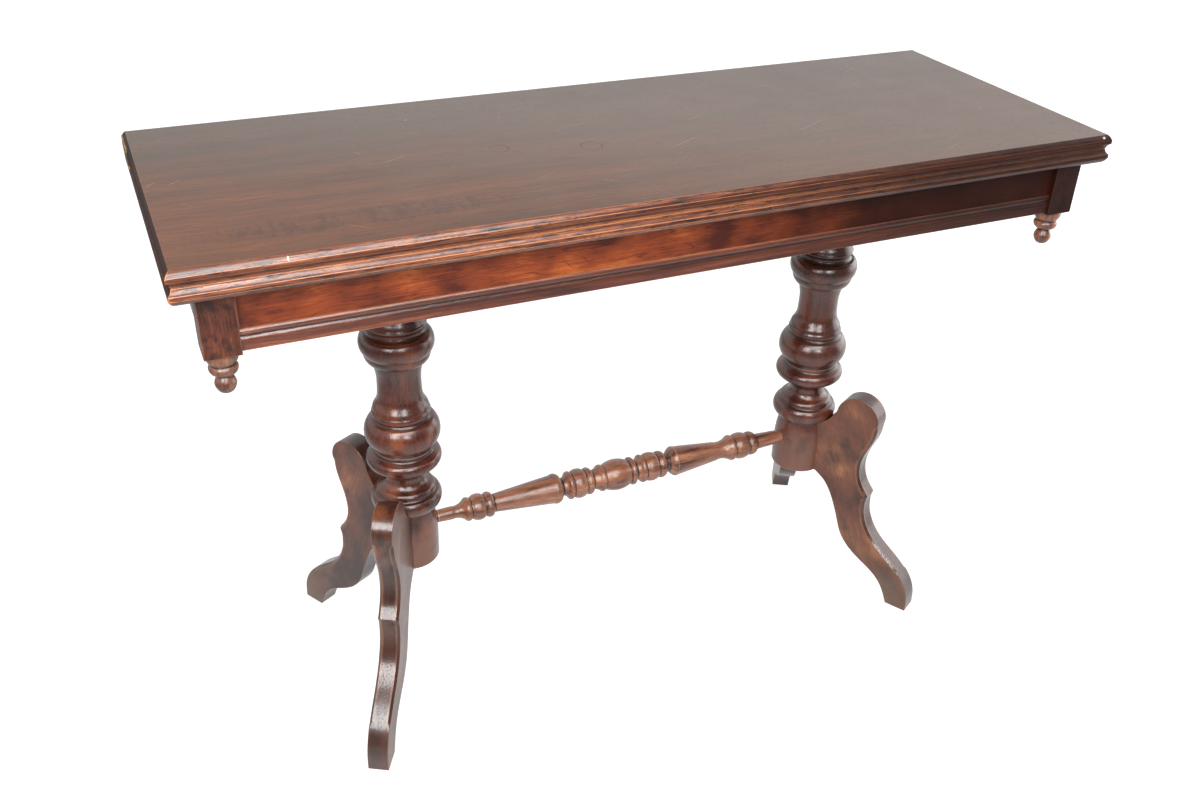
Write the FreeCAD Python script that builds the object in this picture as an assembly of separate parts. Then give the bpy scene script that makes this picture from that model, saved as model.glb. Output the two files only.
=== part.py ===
import FreeCAD, Part

import os

from FreeCAD import Placement, Rotation, Vector

# Flip-top table: two stacked leaves, hinged at the back, slide forward on the frame and then fold open.
# Millimetres, X along the table, Y towards the hinge side, Z up, origin on the floor under the middle.

# Clearances
body_gap = 0.3  # between pieces that pass one another when the table moves
fit_gap = 0.05  # between a tenon, pin or screw and its hole
glue_gap = 0.1  # between a leg and the turned post that it is glued to
cut_over = 2.0  # how far a cutting solid runs past the face that it opens

# The top
table_height = 780.0
top_length = 1200.0  # over the end mouldings
top_depth = 430.0  # from the front moulding to the hinged edge
leaf_thickness = 19.0
edge_reach = 5.5  # how far the edge moulding stands out from the leaf's arris
edge_shares = [(0, 0.20), (0.21, 0.44, 0.36, 0.88), (0.38, 1), (0.66, 1), (0.70, 0.85), (0.87, 0.53, 1, 0)]

# Hinges, let into the ends of the leaves
plate_length = 64.0
plate_height = 13.0
plate_thickness = 3.0
plate_sink = 0.3  # below the nose of the moulding
plate_rise = 2.0  # from the meeting faces of the leaves
lap_gap = 0.2  # between the two halves of a knuckle
pin_radius = 1.75
plate_screw_shares = [0.22, 0.50, 0.78]  # of the plate's length, from the pin

# The frame under the top
end_overhang = 19.5  # from the leaf's arris to the corner blocks
side_overhang = 12.25
rail_height = 70.4
rail_thickness = 22.0
rail_setback = 6.0  # behind the faces of the corner blocks
block_width = 40.0
block_drop = 3.0  # below the rails
tenon_length = 12.0
tenon_thickness = 8.0
tenon_haunch = 16.0  # from the rail's lower edge
tenon_shoulder = 8.0  # from the rail's upper edge
veneer_thickness = 1.0

# Moulding along the foot of each rail
strip_height = 25.0
strip_bed = 4.0  # let into the rail
strip_reach = 2.2
strip_shares = [(0, 0.9), (0.40, 0.9), (0.55, 0.66, 0.63, 0.12), (0.68, 0.10), (0.84, 1, 1, 0.10)]

# Drop finials
finial_height = 50.8
finial_radius = 17.6
spigot_length = 16.0
spigot_radius = 6.0
finial_shares = [
    (0, 0.09), (0.069, 0.479, 0.234, 0.676), (0.360, 0.568, 0.425, 0.443), (0.452, 0.497),
    (0.478, 0.690, 0.515, 0.810, 0.580, 0.893, 0.645, 0.893, 0.698, 0.790), (0.705, 0.745),
    (0.800, 0.935, 1, 1)]

# Inside the frame
bearer_width = 110.0
bearer_thickness = 22.0
bearer_rise = 3.0  # above the rails' lower edges
stub_length = 8.0
stub_thickness = 12.0
stub_shoulder = 10.0
board_thickness = 6.0
board_groove = 5.0
guide_width = 60.0
keeper_thickness = 8.5
runner_neck = 20.0
runner_flange = 34.0
runner_flange_height = 9.0
travel_gap = 0.4  # between a runner and the rail that stops it

# Columns
column_spacing = 649.2
column_radius = 51.2
column_tenon_radius = 16.0
column_seat_share = 0.805  # the plain band that the legs are glued to
column_base_shares = [
    (0, 0.773), (0.016, 0.801), (0.467, 0.805), (0.728, 0.773, 0.924, 0.707),
    (0.957, 0.711, 0.995, 0.811), (1, 0.840)]
column_shaft_shares = [
    (0, 0.850), (0.030, 0.957, 0.058, 0.879), (0.061, 0.816), (0.065, 0.785),
    (0.079, 0.766, 0.088, 0.695), (0.101, 0.559, 0.119, 0.508), (0.150, 0.576, 0.171, 0.791),
    (0.176, 0.889), (0.202, 1, 0.223, 0.925), (0.230, 0.820), (0.234, 0.790), (0.248, 0.800),
    (0.251, 0.765), (0.311, 1, 0.363, 0.850), (0.367, 0.790), (0.374, 0.742), (0.379, 0.765),
    (0.391, 0.776, 0.399, 0.752), (0.402, 0.741),
    (0.412, 0.728, 0.427, 0.668, 0.446, 0.606, 0.480, 0.578, 0.540, 0.585, 0.578, 0.645),
    (0.587, 0.655), (0.591, 0.755), (0.606, 0.835, 0.624, 0.860), (0.628, 0.880),
    (0.660, 0.962, 0.690, 0.900), (0.697, 0.850), (0.699, 0.770), (0.706, 0.725),
    (0.716, 0.722, 0.726, 0.765), (0.732, 0.792, 0.737, 0.772), (0.740, 0.762),
    (0.752, 0.738, 0.765, 0.690), (0.787, 0.635),
    (0.827, 0.518, 0.873, 0.605), (0.899, 0.723, 0.911, 0.879), (0.929, 0.957, 0.947, 0.889),
    (0.951, 0.850), (0.955, 0.898), (1, 0.898)]

# Legs: outward shares run from the column's band to the toe, upward shares from the floor to the scroll
leg_height = 349.5
leg_reach = 229.5  # from the column's axis to the toe
leg_thickness = 29.0
leg_chamfer = 3.5
leg_heading = 60.2  # degrees from the table's length
leg_foot_share = 0.558  # of the leg's height, where the column ends below
leg_joint_share = 0.263  # of the leg's height, the length of the glued joint
leg_root_shares = [(-0.059, 0.804), (0.020, 0.833, 0.073, 0.867, 0.113, 0.907), (0.296, 1, 0.481, 0.910)]
leg_face_shares = [
    (0.469, 0.830, 0.408, 0.735, 0.384, 0.661, 0.416, 0.584, 0.494, 0.526), (0.480, 0.492),
    (0.488, 0.429, 0.530, 0.368, 0.615, 0.306, 0.742, 0.250, 0.870, 0.192, 0.944, 0.140,
     0.987, 0.086, 1, 0.017), (1, 0)]
leg_arch_shares = [
    (0.817, 0),
    (0.796, 0.029, 0.758, 0.072, 0.673, 0.126, 0.535, 0.172, 0.397, 0.222, 0.312, 0.278,
     0.259, 0.349, 0.206, 0.423, 0.148, 0.486, 0.084, 0.529, 0, 0.558), (-0.059, 0.561)]
dowel_radius = 5.0
dowel_in_column = 20.0
dowel_in_leg = 30.0
dowel_shares = [0.22, 0.73]  # of the joint's height

# Stretcher between the columns
stretcher_radius = 23.8
stretcher_share = 0.565  # of the leg joint's height
stretcher_tenon_radius = 8.0
stretcher_tenon_length = 25.0
stretcher_shares = [
    (0, 0.378), (0.038, 0.403), (0.061, 0.462, 0.074, 0.697), (0.080, 0.739, 0.086, 0.689),
    (0.088, 0.647), (0.091, 0.681), (0.108, 0.824, 0.123, 0.714), (0.125, 0.664), (0.127, 0.689),
    (0.137, 0.790, 0.146, 0.681), (0.149, 0.563), (0.310, 0.899), (0.322, 0.950, 0.332, 0.819),
    (0.337, 0.580), (0.341, 0.571), (0.348, 0.639, 0.354, 0.815), (0.360, 0.899, 0.366, 0.824),
    (0.368, 0.765), (0.369, 0.807), (0.386, 0.941, 0.402, 0.824), (0.404, 0.765), (0.406, 0.790),
    (0.414, 0.874, 0.422, 0.773), (0.425, 0.622), (0.429, 0.622), (0.437, 0.681, 0.444, 0.790),
    (0.451, 0.866, 0.457, 0.815), (0.459, 0.765), (0.460, 0.790), (0.496, 1, 0.530, 0.790),
    (0.531, 0.765), (0.533, 0.807), (0.539, 0.908, 0.546, 0.807), (0.549, 0.647), (0.553, 0.647),
    (0.559, 0.714, 0.564, 0.840), (0.570, 0.908, 0.575, 0.840), (0.577, 0.773), (0.578, 0.815),
    (0.596, 0.933, 0.613, 0.815), (0.615, 0.773), (0.616, 0.798), (0.626, 0.878, 0.636, 0.756),
    (0.639, 0.588), (0.648, 0.588), (0.654, 0.773, 0.662, 0.933), (0.666, 0.975), (0.670, 0.950),
    (0.791, 0.630), (0.816, 0.597, 0.836, 0.782), (0.843, 0.849, 0.850, 0.782), (0.852, 0.714),
    (0.854, 0.765), (0.873, 0.878, 0.892, 0.756), (0.894, 0.706), (0.896, 0.731),
    (0.907, 0.790, 0.917, 0.697), (0.920, 0.530), (1, 0.440)]

# Countersunk wood screws, one pattern in several lengths
screw_radius = 1.75
screw_head_radius = 3.4
screw_head_height = 1.8
screw_tip_length = 3.0
screw_tip_radius = 0.4
screw_slot_width = 0.8
screw_slot_depth = 0.9
hinge_screw_length = 16.0
runner_screw_length = 30.0
keeper_screw_length = 24.0
bearer_screw_length = 40.0
runner_screw_shares = [0.12, 0.50, 0.88]
keeper_screw_shares = [0.10, 0.50, 0.90]
bearer_screw_shares = [0.18, 0.82]

# Places that follow from the sizes above
arris_x = top_length / 2 - edge_reach
arris_y = (top_depth - edge_reach) / 2
hinge_y = arris_y
hinge_z = table_height - leaf_thickness - body_gap / 2
bed_x = arris_x + edge_reach - plate_sink - plate_thickness
plate_x = bed_x + plate_thickness
knuckle_radius = edge_reach
knuckle_half = (plate_thickness - lap_gap) / 2

frame_top = hinge_z - body_gap / 2 - leaf_thickness - body_gap
frame_x = arris_x - end_overhang
frame_y = arris_y - side_overhang
rail_bottom = frame_top - rail_height
rail_face_x = frame_x - rail_setback
rail_face_y = frame_y - rail_setback
inner_x = rail_face_x - rail_thickness
inner_y = rail_face_y - rail_thickness
block_x = frame_x - block_width
block_y = frame_y - block_width
block_bottom = rail_bottom - block_drop
strip_top = rail_bottom + strip_height

bearer_bottom = rail_bottom + bearer_rise
bearer_top = bearer_bottom + bearer_thickness
board_top = bearer_top + board_thickness
guide_top = frame_top - keeper_thickness
channel_bottom = guide_top - runner_flange_height - 2 * body_gap
column_x = column_spacing / 2
stop_y = inner_y - travel_gap
slide_travel = hinge_y

joint_bottom = leg_height * leg_foot_share
joint_height = leg_height * leg_joint_share
joint_top = joint_bottom + joint_height
seat_radius = column_radius * column_seat_share
stretcher_z = joint_bottom + joint_height * stretcher_share

sides = (("left", -1), ("right", 1))
ends = (("front", -1), ("back", 1))


def block(x_span, y_span, z_span):
    """Box over three spans, each given in either order."""
    lows = [min(span) for span in (x_span, y_span, z_span)]
    sizes = [max(span) - min(span) for span in (x_span, y_span, z_span)]
    return Part.makeBox(*sizes, Vector(*lows))


def both_ways(half):
    return (-half, half)


def cut_all(shape, cutters):
    for cutter in cutters:
        shape = shape.cut(cutter)
    return shape


def rows_over(shares, start, length, reach):
    """Real rows from rows of shares: along from start over length, outward up to reach."""
    rows = []
    for row in shares:
        real = []
        for along, out in zip(row[0::2], row[1::2]):
            real += [start + along * length, out * reach]
        rows.append(real)
    return rows


def trace(rows, at):
    """Edges through rows: one point is a straight line to it, two an arc, more a smooth curve."""
    edges = []
    here = at(*rows[0])
    for row in rows[1:]:
        points = [at(row[i], row[i + 1]) for i in range(0, len(row), 2)]
        if len(points) == 1:
            edges.append(Part.makeLine(here, points[0]))
        elif len(points) == 2:
            edges.append(Part.Arc(here, *points).toShape())
        else:
            curve = Part.BSplineCurve()
            curve.interpolate([here] + points)
            edges.append(curve.toShape())
        here = points[-1]
    return edges


def face_of(edges):
    return Part.Face(Part.Wire(Part.__sortEdges__(edges)))


def turned(rows, grow=0.0):
    """Turned solid about Z from rows of height and radius, with its radius swollen by grow."""
    def at(height, radius):
        return Vector(radius + grow, 0, height)

    foot = Vector(0, 0, rows[0][0])
    head = Vector(0, 0, rows[-1][-2])
    first = at(*rows[0])
    last = at(*rows[-1][-2:])
    edges = trace(rows, at)
    edges += [Part.makeLine(foot, first), Part.makeLine(last, head), Part.makeLine(head, foot)]
    return face_of(edges).revolve(Vector(0, 0, 0), Vector(0, 0, 1), 360)


def stood(shape, place, axis):
    """The shape with its Z turned to the axis and its origin moved to the place."""
    moved = shape.copy()
    moved.Placement = Placement(place, Rotation(Vector(0, 0, 1), axis))
    return moved


def spread(shares, start, end):
    return [start + share * (end - start) for share in shares]


# Screws
def screw_rows(length):
    return [
        (0, screw_head_radius), (screw_head_height, screw_radius),
        (length - screw_tip_length, screw_radius), (length, screw_tip_radius)]


def screws(spots, axis, length):
    slot = block(
        both_ways(screw_head_radius + cut_over), both_ways(screw_slot_width / 2),
        (-cut_over, screw_slot_depth))
    one = turned(screw_rows(length)).cut(slot)
    return [stood(one, spot, axis) for spot in spots]


def screw_holes(spots, axis, length):
    """Countersunk holes for the screws, open past their heads."""
    rows = [(-cut_over, screw_head_radius)] + screw_rows(length)
    hole = turned(rows, fit_gap)
    return [stood(hole, spot, axis) for spot in spots]


# Where the screws go: each is a list of head places
def hinge_screw_spots(side, up):
    z = hinge_z + up * (plate_rise + plate_height / 2)
    ys = spread(plate_screw_shares, hinge_y, hinge_y - plate_length)
    return [Vector(side * plate_x, y, z) for y in ys]


def runner_screw_spots(side):
    ys = spread(runner_screw_shares, *runner_span())
    return [Vector(side * column_x, y, runner_bottom()) for y in ys]


def keeper_screw_spots(side, flank):
    x = side * column_x + flank * (guide_width + channel_width()) / 4
    return [Vector(x, y, frame_top) for y in spread(keeper_screw_shares, *both_ways(inner_y))]


def bearer_screw_spots(side):
    xs = [side * column_x + off for off in both_ways(guide_width / 4)]
    ys = spread(bearer_screw_shares, *both_ways(inner_y))
    return [Vector(x, y, bearer_bottom) for x in xs for y in ys]


# The two leaves, mirrored about the plane where they meet
def leaf(up):
    inner = hinge_z + up * body_gap / 2
    outer = inner + up * leaf_thickness
    rows = rows_over(edge_shares, 0, leaf_thickness, edge_reach)
    reach = top_length + top_depth

    def end_at(side):
        return lambda rise, out: Vector(side * (arris_x + out), -reach, inner + up * rise)

    def closing(low, high, face):
        return [Part.makeLine(low(*rows[0]), high(*rows[0])), Part.makeLine(low(*face), high(*face))]

    face = rows[-1][-2:]
    end_edges = trace(rows, end_at(-1)) + trace(rows, end_at(1)) + closing(end_at(-1), end_at(1), face)
    across = face_of(end_edges).extrude(Vector(0, 2 * reach, 0))

    def front_at(rise, out):
        return Vector(-reach, -arris_y - out, inner + up * rise)

    def back_at(rise, out):
        return Vector(-reach, hinge_y - body_gap / 2, inner + up * rise)

    side_edges = trace(rows, front_at) + closing(front_at, back_at, face)
    side_edges.append(Part.makeLine(back_at(*rows[0]), back_at(*face)))
    along = face_of(side_edges).extrude(Vector(2 * reach, 0, 0))
    shape = across.common(along)

    for name, side in sides:
        shape = cut_all(shape, hinge_bed(side, up))
        if up < 0:
            shape = cut_all(shape, runner_holes(side))
    return shape


# Hinges
def hinge_disc(side, start, end, radius):
    """Disc about the hinge line between two distances from the middle of the table."""
    low = min(side * start, side * end)
    return Part.makeCylinder(radius, abs(end - start), Vector(low, hinge_y, hinge_z), Vector(1, 0, 0))


def strap(side, up, start, end, grow):
    """The plate's flat strap with its round far end, between two distances from the middle."""
    half = plate_height / 2
    middle = hinge_z + up * (plate_rise + half)
    far_y = hinge_y - plate_length + half
    bar = block(
        (side * start, side * end), (far_y, hinge_y - body_gap / 2),
        (middle - half - grow, middle + half + grow))
    low = min(side * start, side * end)
    tip = Part.makeCylinder(half + grow, abs(end - start), Vector(low, far_y, middle), Vector(1, 0, 0))
    return bar.fuse(tip).removeSplitter()


def hinge_bed(side, up):
    """What is cut from a leaf for its hinge: the strap's bed, the knuckle's round and the screw holes."""
    open_x = arris_x + edge_reach + cut_over
    bed = strap(side, up, bed_x, open_x, fit_gap)
    round_bed = hinge_disc(side, bed_x - body_gap, open_x, knuckle_radius + 2 * body_gap)
    holes = screw_holes(hinge_screw_spots(side, up), Vector(-side, 0, 0), hinge_screw_length)
    return [bed, round_bed] + holes


def hinge_plate(side, up):
    if up < 0:
        own = (bed_x, bed_x + knuckle_half)
        other = (own[1], plate_x + cut_over)
    else:
        own = (plate_x - knuckle_half, plate_x)
        other = (bed_x - cut_over, own[0])
    shape = strap(side, up, bed_x, plate_x, 0)
    shape = shape.cut(hinge_disc(side, *other, knuckle_radius + body_gap))
    shape = shape.fuse(hinge_disc(side, *own, knuckle_radius)).removeSplitter()
    shape = shape.cut(hinge_disc(side, bed_x - cut_over, plate_x + cut_over, pin_radius + fit_gap))
    holes = screw_holes(hinge_screw_spots(side, up), Vector(-side, 0, 0), hinge_screw_length)
    return cut_all(shape, holes)


def hinge_pin(side):
    return hinge_disc(side, bed_x, plate_x, pin_radius)


def hinge_screws(up):
    group = []
    for name, side in sides:
        group += screws(hinge_screw_spots(side, up), Vector(-side, 0, 0), hinge_screw_length)
    return Part.makeCompound(group)


# Runners under the lower leaf, and the guides that they slide in
def channel_width():
    return runner_flange + 2 * body_gap


def runner_span():
    """From the back stop forward, so that the front stop ends the slide."""
    return (slide_travel - stop_y, stop_y)


def flange_top():
    return guide_top - body_gap


def runner_bottom():
    return flange_top() - runner_flange_height


def runner_holes(side):
    return screw_holes(runner_screw_spots(side), Vector(0, 0, 1), runner_screw_length)


def runner(side):
    x = side * column_x
    leaf_bottom = frame_top + body_gap
    neck = block(
        (x - runner_neck / 2, x + runner_neck / 2), runner_span(), (flange_top(), leaf_bottom))
    flange = block(
        (x - runner_flange / 2, x + runner_flange / 2), runner_span(), (runner_bottom(), flange_top()))
    return cut_all(neck.fuse(flange).removeSplitter(), runner_holes(side))


def runner_screws():
    group = []
    for name, side in sides:
        group += screws(runner_screw_spots(side), Vector(0, 0, 1), runner_screw_length)
    return Part.makeCompound(group)


def keeper_holes(side, flank):
    return screw_holes(keeper_screw_spots(side, flank), Vector(0, 0, -1), keeper_screw_length)


def bearer_holes(side):
    return screw_holes(bearer_screw_spots(side), Vector(0, 0, 1), bearer_screw_length)


def guide_rail(side):
    x = side * column_x
    body = block((x - guide_width / 2, x + guide_width / 2), both_ways(inner_y), (board_top, guide_top))
    channel = block(
        (x - channel_width() / 2, x + channel_width() / 2), both_ways(inner_y + cut_over),
        (channel_bottom, guide_top + cut_over))
    shape = body.cut(channel)
    for flank in (-1, 1):
        shape = cut_all(shape, keeper_holes(side, flank))
    return cut_all(shape, bearer_holes(side))


def keeper(side, flank):
    x = side * column_x
    near = x + flank * (runner_neck / 2 + body_gap)
    far = x + flank * guide_width / 2
    shape = block((near, far), both_ways(inner_y), (guide_top, frame_top))
    return cut_all(shape, keeper_holes(side, flank))


def keeper_screws():
    group = []
    for name, side in sides:
        for flank in (-1, 1):
            group += screws(keeper_screw_spots(side, flank), Vector(0, 0, -1), keeper_screw_length)
    return Part.makeCompound(group)


# The frame: rails tenoned into corner blocks
def tenon_band(grow):
    return (rail_bottom + tenon_haunch - grow, frame_top - tenon_shoulder + grow)


def long_tenons(end, grow):
    """Both tenons of the front or back rail, as one bar through its middle."""
    half = tenon_thickness / 2 + grow
    middle = end * (rail_face_y - rail_thickness / 2)
    return block(both_ways(block_x + tenon_length + grow), (middle - half, middle + half), tenon_band(grow))


def cross_tenons(side, grow):
    half = tenon_thickness / 2 + grow
    middle = side * (rail_face_x - rail_thickness / 2)
    return block((middle - half, middle + half), both_ways(block_y + tenon_length + grow), tenon_band(grow))


def long_rail(end):
    """Front or back rail, grooved for the board and mortised for the bearers."""
    faces = (end * rail_face_y, end * inner_y)
    shape = block(both_ways(block_x), faces, (rail_bottom, frame_top)).fuse(long_tenons(end, 0))
    shape = shape.removeSplitter()
    rebate = block(
        both_ways(block_x), (end * (rail_face_y - strip_bed), end * (rail_face_y + cut_over)),
        (rail_bottom - cut_over, strip_top))
    cutters = [rebate, well_board(fit_gap)]
    cutters += [bearer_stub(side, fit_gap) for name, side in sides]
    if end < 0:
        cutters.append(block(
            both_ways(block_x), (end * (rail_face_y - veneer_thickness), end * (rail_face_y + cut_over)),
            (strip_top, frame_top + cut_over)))
    return cut_all(shape, cutters)


def cross_rail(side):
    faces = (side * rail_face_x, side * inner_x)
    shape = block(faces, both_ways(block_y), (rail_bottom, frame_top)).fuse(cross_tenons(side, 0))
    shape = shape.removeSplitter()
    rebate = block(
        (side * (rail_face_x - strip_bed), side * (rail_face_x + cut_over)), both_ways(block_y),
        (rail_bottom - cut_over, strip_top))
    return cut_all(shape, [rebate, well_board(fit_gap)])


def front_veneer():
    faces = (-rail_face_y, -rail_face_y + veneer_thickness)
    return block(both_ways(block_x), faces, (strip_top, frame_top))


def strip_section(place):
    """Closed section of the rail moulding; place turns height and outward reach into a point."""
    rows = rows_over(strip_shares, rail_bottom, strip_height, strip_reach)
    low_back = place(rail_bottom, -strip_bed)
    high_back = place(strip_top, -strip_bed)
    edges = trace(rows, place)
    edges.append(Part.makeLine(place(*rows[0]), low_back))
    edges.append(Part.makeLine(low_back, high_back))
    edges.append(Part.makeLine(high_back, place(*rows[-1][-2:])))
    return face_of(edges)


def long_strip(end):
    section = strip_section(lambda rise, out: Vector(-block_x, end * (rail_face_y + out), rise))
    return section.extrude(Vector(2 * block_x, 0, 0))


def cross_strip(side):
    section = strip_section(lambda rise, out: Vector(side * (rail_face_x + out), -block_y, rise))
    return section.extrude(Vector(0, 2 * block_y, 0))


def corner_block(side, end):
    shape = block((side * block_x, side * frame_x), (end * block_y, end * frame_y), (block_bottom, frame_top))
    spot = Vector(*finial_spot(side, end), block_bottom - cut_over)
    spigot_hole = Part.makeCylinder(spigot_radius + fit_gap, spigot_length + cut_over + fit_gap, spot)
    return cut_all(shape, [long_tenons(end, fit_gap), cross_tenons(side, fit_gap), spigot_hole])


def finial_spot(side, end):
    return (side * (frame_x - block_width / 2), end * (frame_y - block_width / 2))


def finial(side, end):
    rows = rows_over(finial_shares, block_bottom - finial_height, finial_height, finial_radius)
    rows += [(block_bottom, spigot_radius), (block_bottom + spigot_length, spigot_radius)]
    shape = turned(rows)
    shape.translate(Vector(*finial_spot(side, end), 0))
    return shape


# The floor of the well, and the bearers that carry the columns
def well_board(grow):
    """The thin board in its grooves, notched round the corner blocks."""
    reach = board_groove + grow - fit_gap
    shape = block(
        both_ways(inner_x + reach), both_ways(inner_y + reach), (bearer_top - grow, board_top + grow))
    for name, side in sides:
        for end_name, end in ends:
            corner = block(
                (side * (block_x - fit_gap), side * frame_x), (end * (block_y - fit_gap), end * frame_y),
                (bearer_top - cut_over, board_top + cut_over))
            shape = shape.cut(corner)
    return shape


def well_bottom():
    shape = well_board(0)
    for name, side in sides:
        shape = cut_all(shape, bearer_holes(side))
    return shape


def bearer_stub(side, grow):
    """Both stub tenons of a bearer, as one bar through its middle."""
    x = side * column_x
    half_width = bearer_width / 2 - stub_shoulder + grow
    half_height = stub_thickness / 2 + grow
    middle = bearer_bottom + bearer_thickness / 2
    return block(
        (x - half_width, x + half_width), both_ways(inner_y + stub_length + grow),
        (middle - half_height, middle + half_height))


def column_bearer(side):
    x = side * column_x
    body = block(
        (x - bearer_width / 2, x + bearer_width / 2), both_ways(inner_y), (bearer_bottom, bearer_top))
    shape = body.fuse(bearer_stub(side, 0)).removeSplitter()
    socket = Part.makeCylinder(
        column_tenon_radius + fit_gap, bearer_thickness + 2 * cut_over,
        Vector(x, 0, bearer_bottom - cut_over))
    return cut_all(shape, [socket] + bearer_holes(side))


def bearer_screws():
    group = []
    for name, side in sides:
        group += screws(bearer_screw_spots(side), Vector(0, 0, 1), bearer_screw_length)
    return Part.makeCompound(group)


# Columns, legs and stretcher
def column_rows():
    rows = rows_over(column_base_shares, joint_bottom, joint_height, column_radius)
    rows += rows_over(column_shaft_shares, joint_top, bearer_bottom - joint_top, column_radius)
    return rows


def heading_of(side, end):
    """Direction of a leg away from its column."""
    return Rotation(Vector(0, 0, 1), leg_heading).multVec(Vector(1, 0, 0)).scale(side, end, 1)


def leg_dowel(side, end, share, grow):
    heading = heading_of(side, end)
    start = Vector(side * column_x, 0, joint_bottom + joint_height * share)
    start += heading * (seat_radius - dowel_in_column - grow)
    length = dowel_in_column + dowel_in_leg + 2 * grow
    return Part.makeCylinder(dowel_radius + grow, length, start, heading)


def column(side):
    rows = column_rows()
    rows += [(bearer_bottom, column_tenon_radius), (bearer_top, column_tenon_radius)]
    shape = turned(rows)
    shape.translate(Vector(side * column_x, 0, 0))
    cutters = [leg_dowel(side, end, share, fit_gap) for name, end in ends for share in dowel_shares]
    cutters.append(Part.makeCylinder(
        stretcher_tenon_radius + fit_gap, seat_radius + stretcher_tenon_length,
        Vector(side * (column_x - seat_radius + stretcher_tenon_length + fit_gap), 0, stretcher_z),
        Vector(-side, 0, 0)))
    return cut_all(shape, cutters)


def leg_outline(y, setback):
    """Closed outline of a leg in the plane y, its worn outer face moved in by the setback."""
    def rows_of(shares, shift):
        rows = []
        for row in shares:
            real = []
            for out, rise in zip(row[0::2], row[1::2]):
                real += [seat_radius + out * (leg_reach - seat_radius) - shift, rise * leg_height]
            rows.append(real)
        return rows

    rows = rows_of(leg_root_shares, 0) + rows_of(leg_face_shares, setback) + rows_of(leg_arch_shares, 0)
    rows.append(rows[0])
    return Part.Wire(Part.__sortEdges__(trace(rows, lambda out, rise: Vector(out, y, rise))))


def leg(side, end):
    """Sawn leg with its outer arrises chamfered from the neck to the toe, coved to fit its column."""
    half = leg_thickness / 2
    flat = half - leg_chamfer
    outlines = [(-half, leg_chamfer), (-flat, 0), (flat, 0), (half, leg_chamfer)]
    shape = Part.makeLoft([leg_outline(y, setback) for y, setback in outlines], True, True)
    shape.Placement = Placement(
        Vector(side * column_x, 0, 0), Rotation(Vector(1, 0, 0), heading_of(side, end)))
    socket = turned(column_rows(), glue_gap)
    socket.translate(Vector(side * column_x, 0, 0))
    return cut_all(shape, [socket] + [leg_dowel(side, end, share, fit_gap) for share in dowel_shares])


def leg_dowels():
    return Part.makeCompound([
        leg_dowel(side, end, share, 0)
        for name, side in sides for end_name, end in ends for share in dowel_shares])


def stretcher():
    half = column_x - seat_radius
    rows = rows_over(stretcher_shares, -half, 2 * half, stretcher_radius)
    tenon = stretcher_tenon_radius
    rows.insert(0, (-half, tenon))
    rows.insert(0, (-half - stretcher_tenon_length, tenon))
    rows += [(half, tenon), (half + stretcher_tenon_length, tenon)]
    return stood(turned(rows), Vector(0, 0, stretcher_z), Vector(1, 0, 0))


# All pieces by name
pieces = {
    "upper_leaf": leaf(1),
    "lower_leaf": leaf(-1),
    "hinge_screws_upper": hinge_screws(1),
    "hinge_screws_lower": hinge_screws(-1),
    "runner_screws": runner_screws(),
    "keeper_screws": keeper_screws(),
    "front_veneer": front_veneer(),
    "well_bottom": well_bottom(),
    "bearer_screws": bearer_screws(),
    "leg_dowels": leg_dowels(),
    "stretcher": stretcher(),
}
for side_name, side in sides:
    pieces[f"{side_name}_hinge_plate_upper"] = hinge_plate(side, 1)
    pieces[f"{side_name}_hinge_plate_lower"] = hinge_plate(side, -1)
    pieces[f"{side_name}_hinge_pin"] = hinge_pin(side)
    pieces[f"{side_name}_runner"] = runner(side)
    pieces[f"{side_name}_guide_rail"] = guide_rail(side)
    pieces[f"{side_name}_keeper_inner"] = keeper(side, -side)
    pieces[f"{side_name}_keeper_outer"] = keeper(side, side)
    pieces[f"{side_name}_rail"] = cross_rail(side)
    pieces[f"{side_name}_rail_moulding"] = cross_strip(side)
    pieces[f"{side_name}_column_bearer"] = column_bearer(side)
    pieces[f"{side_name}_column"] = column(side)
    for end_name, end in ends:
        pieces[f"{side_name}_{end_name}_corner_block"] = corner_block(side, end)
        pieces[f"{side_name}_{end_name}_finial"] = finial(side, end)
        pieces[f"{side_name}_{end_name}_leg"] = leg(side, end)
for end_name, end in ends:
    pieces[f"{end_name}_rail"] = long_rail(end)
    pieces[f"{end_name}_rail_moulding"] = long_strip(end)

os.makedirs("parts", exist_ok=True)
for name, shape in pieces.items():
    shape.exportStep(f"parts/{name}.step")
print(f"{len(pieces)} pieces, top slides {slide_travel} mm")
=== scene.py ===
from functools import partial
import math

import bmesh
import bpy
import numpy as np
from mathutils import Matrix, Vector, geometry, noise


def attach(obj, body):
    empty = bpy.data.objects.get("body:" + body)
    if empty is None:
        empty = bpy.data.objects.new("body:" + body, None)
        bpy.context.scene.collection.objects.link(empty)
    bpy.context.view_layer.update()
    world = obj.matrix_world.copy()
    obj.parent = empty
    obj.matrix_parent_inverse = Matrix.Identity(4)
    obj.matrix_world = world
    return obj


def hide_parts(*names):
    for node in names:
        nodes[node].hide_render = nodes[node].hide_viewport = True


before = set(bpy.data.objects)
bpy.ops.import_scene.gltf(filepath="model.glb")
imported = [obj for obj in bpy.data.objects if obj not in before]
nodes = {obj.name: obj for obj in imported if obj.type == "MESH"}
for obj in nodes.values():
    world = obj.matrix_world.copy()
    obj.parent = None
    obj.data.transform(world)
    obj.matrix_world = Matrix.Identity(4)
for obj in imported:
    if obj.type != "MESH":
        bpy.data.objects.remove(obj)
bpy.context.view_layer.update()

# Flip-top table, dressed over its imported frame. Sizes in the dictionaries are millimetres.
scene = bpy.context.scene
mm = 0.001
sides = (("left", -1), ("right", 1))
ends = (("front", -1), ("back", 1))
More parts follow.
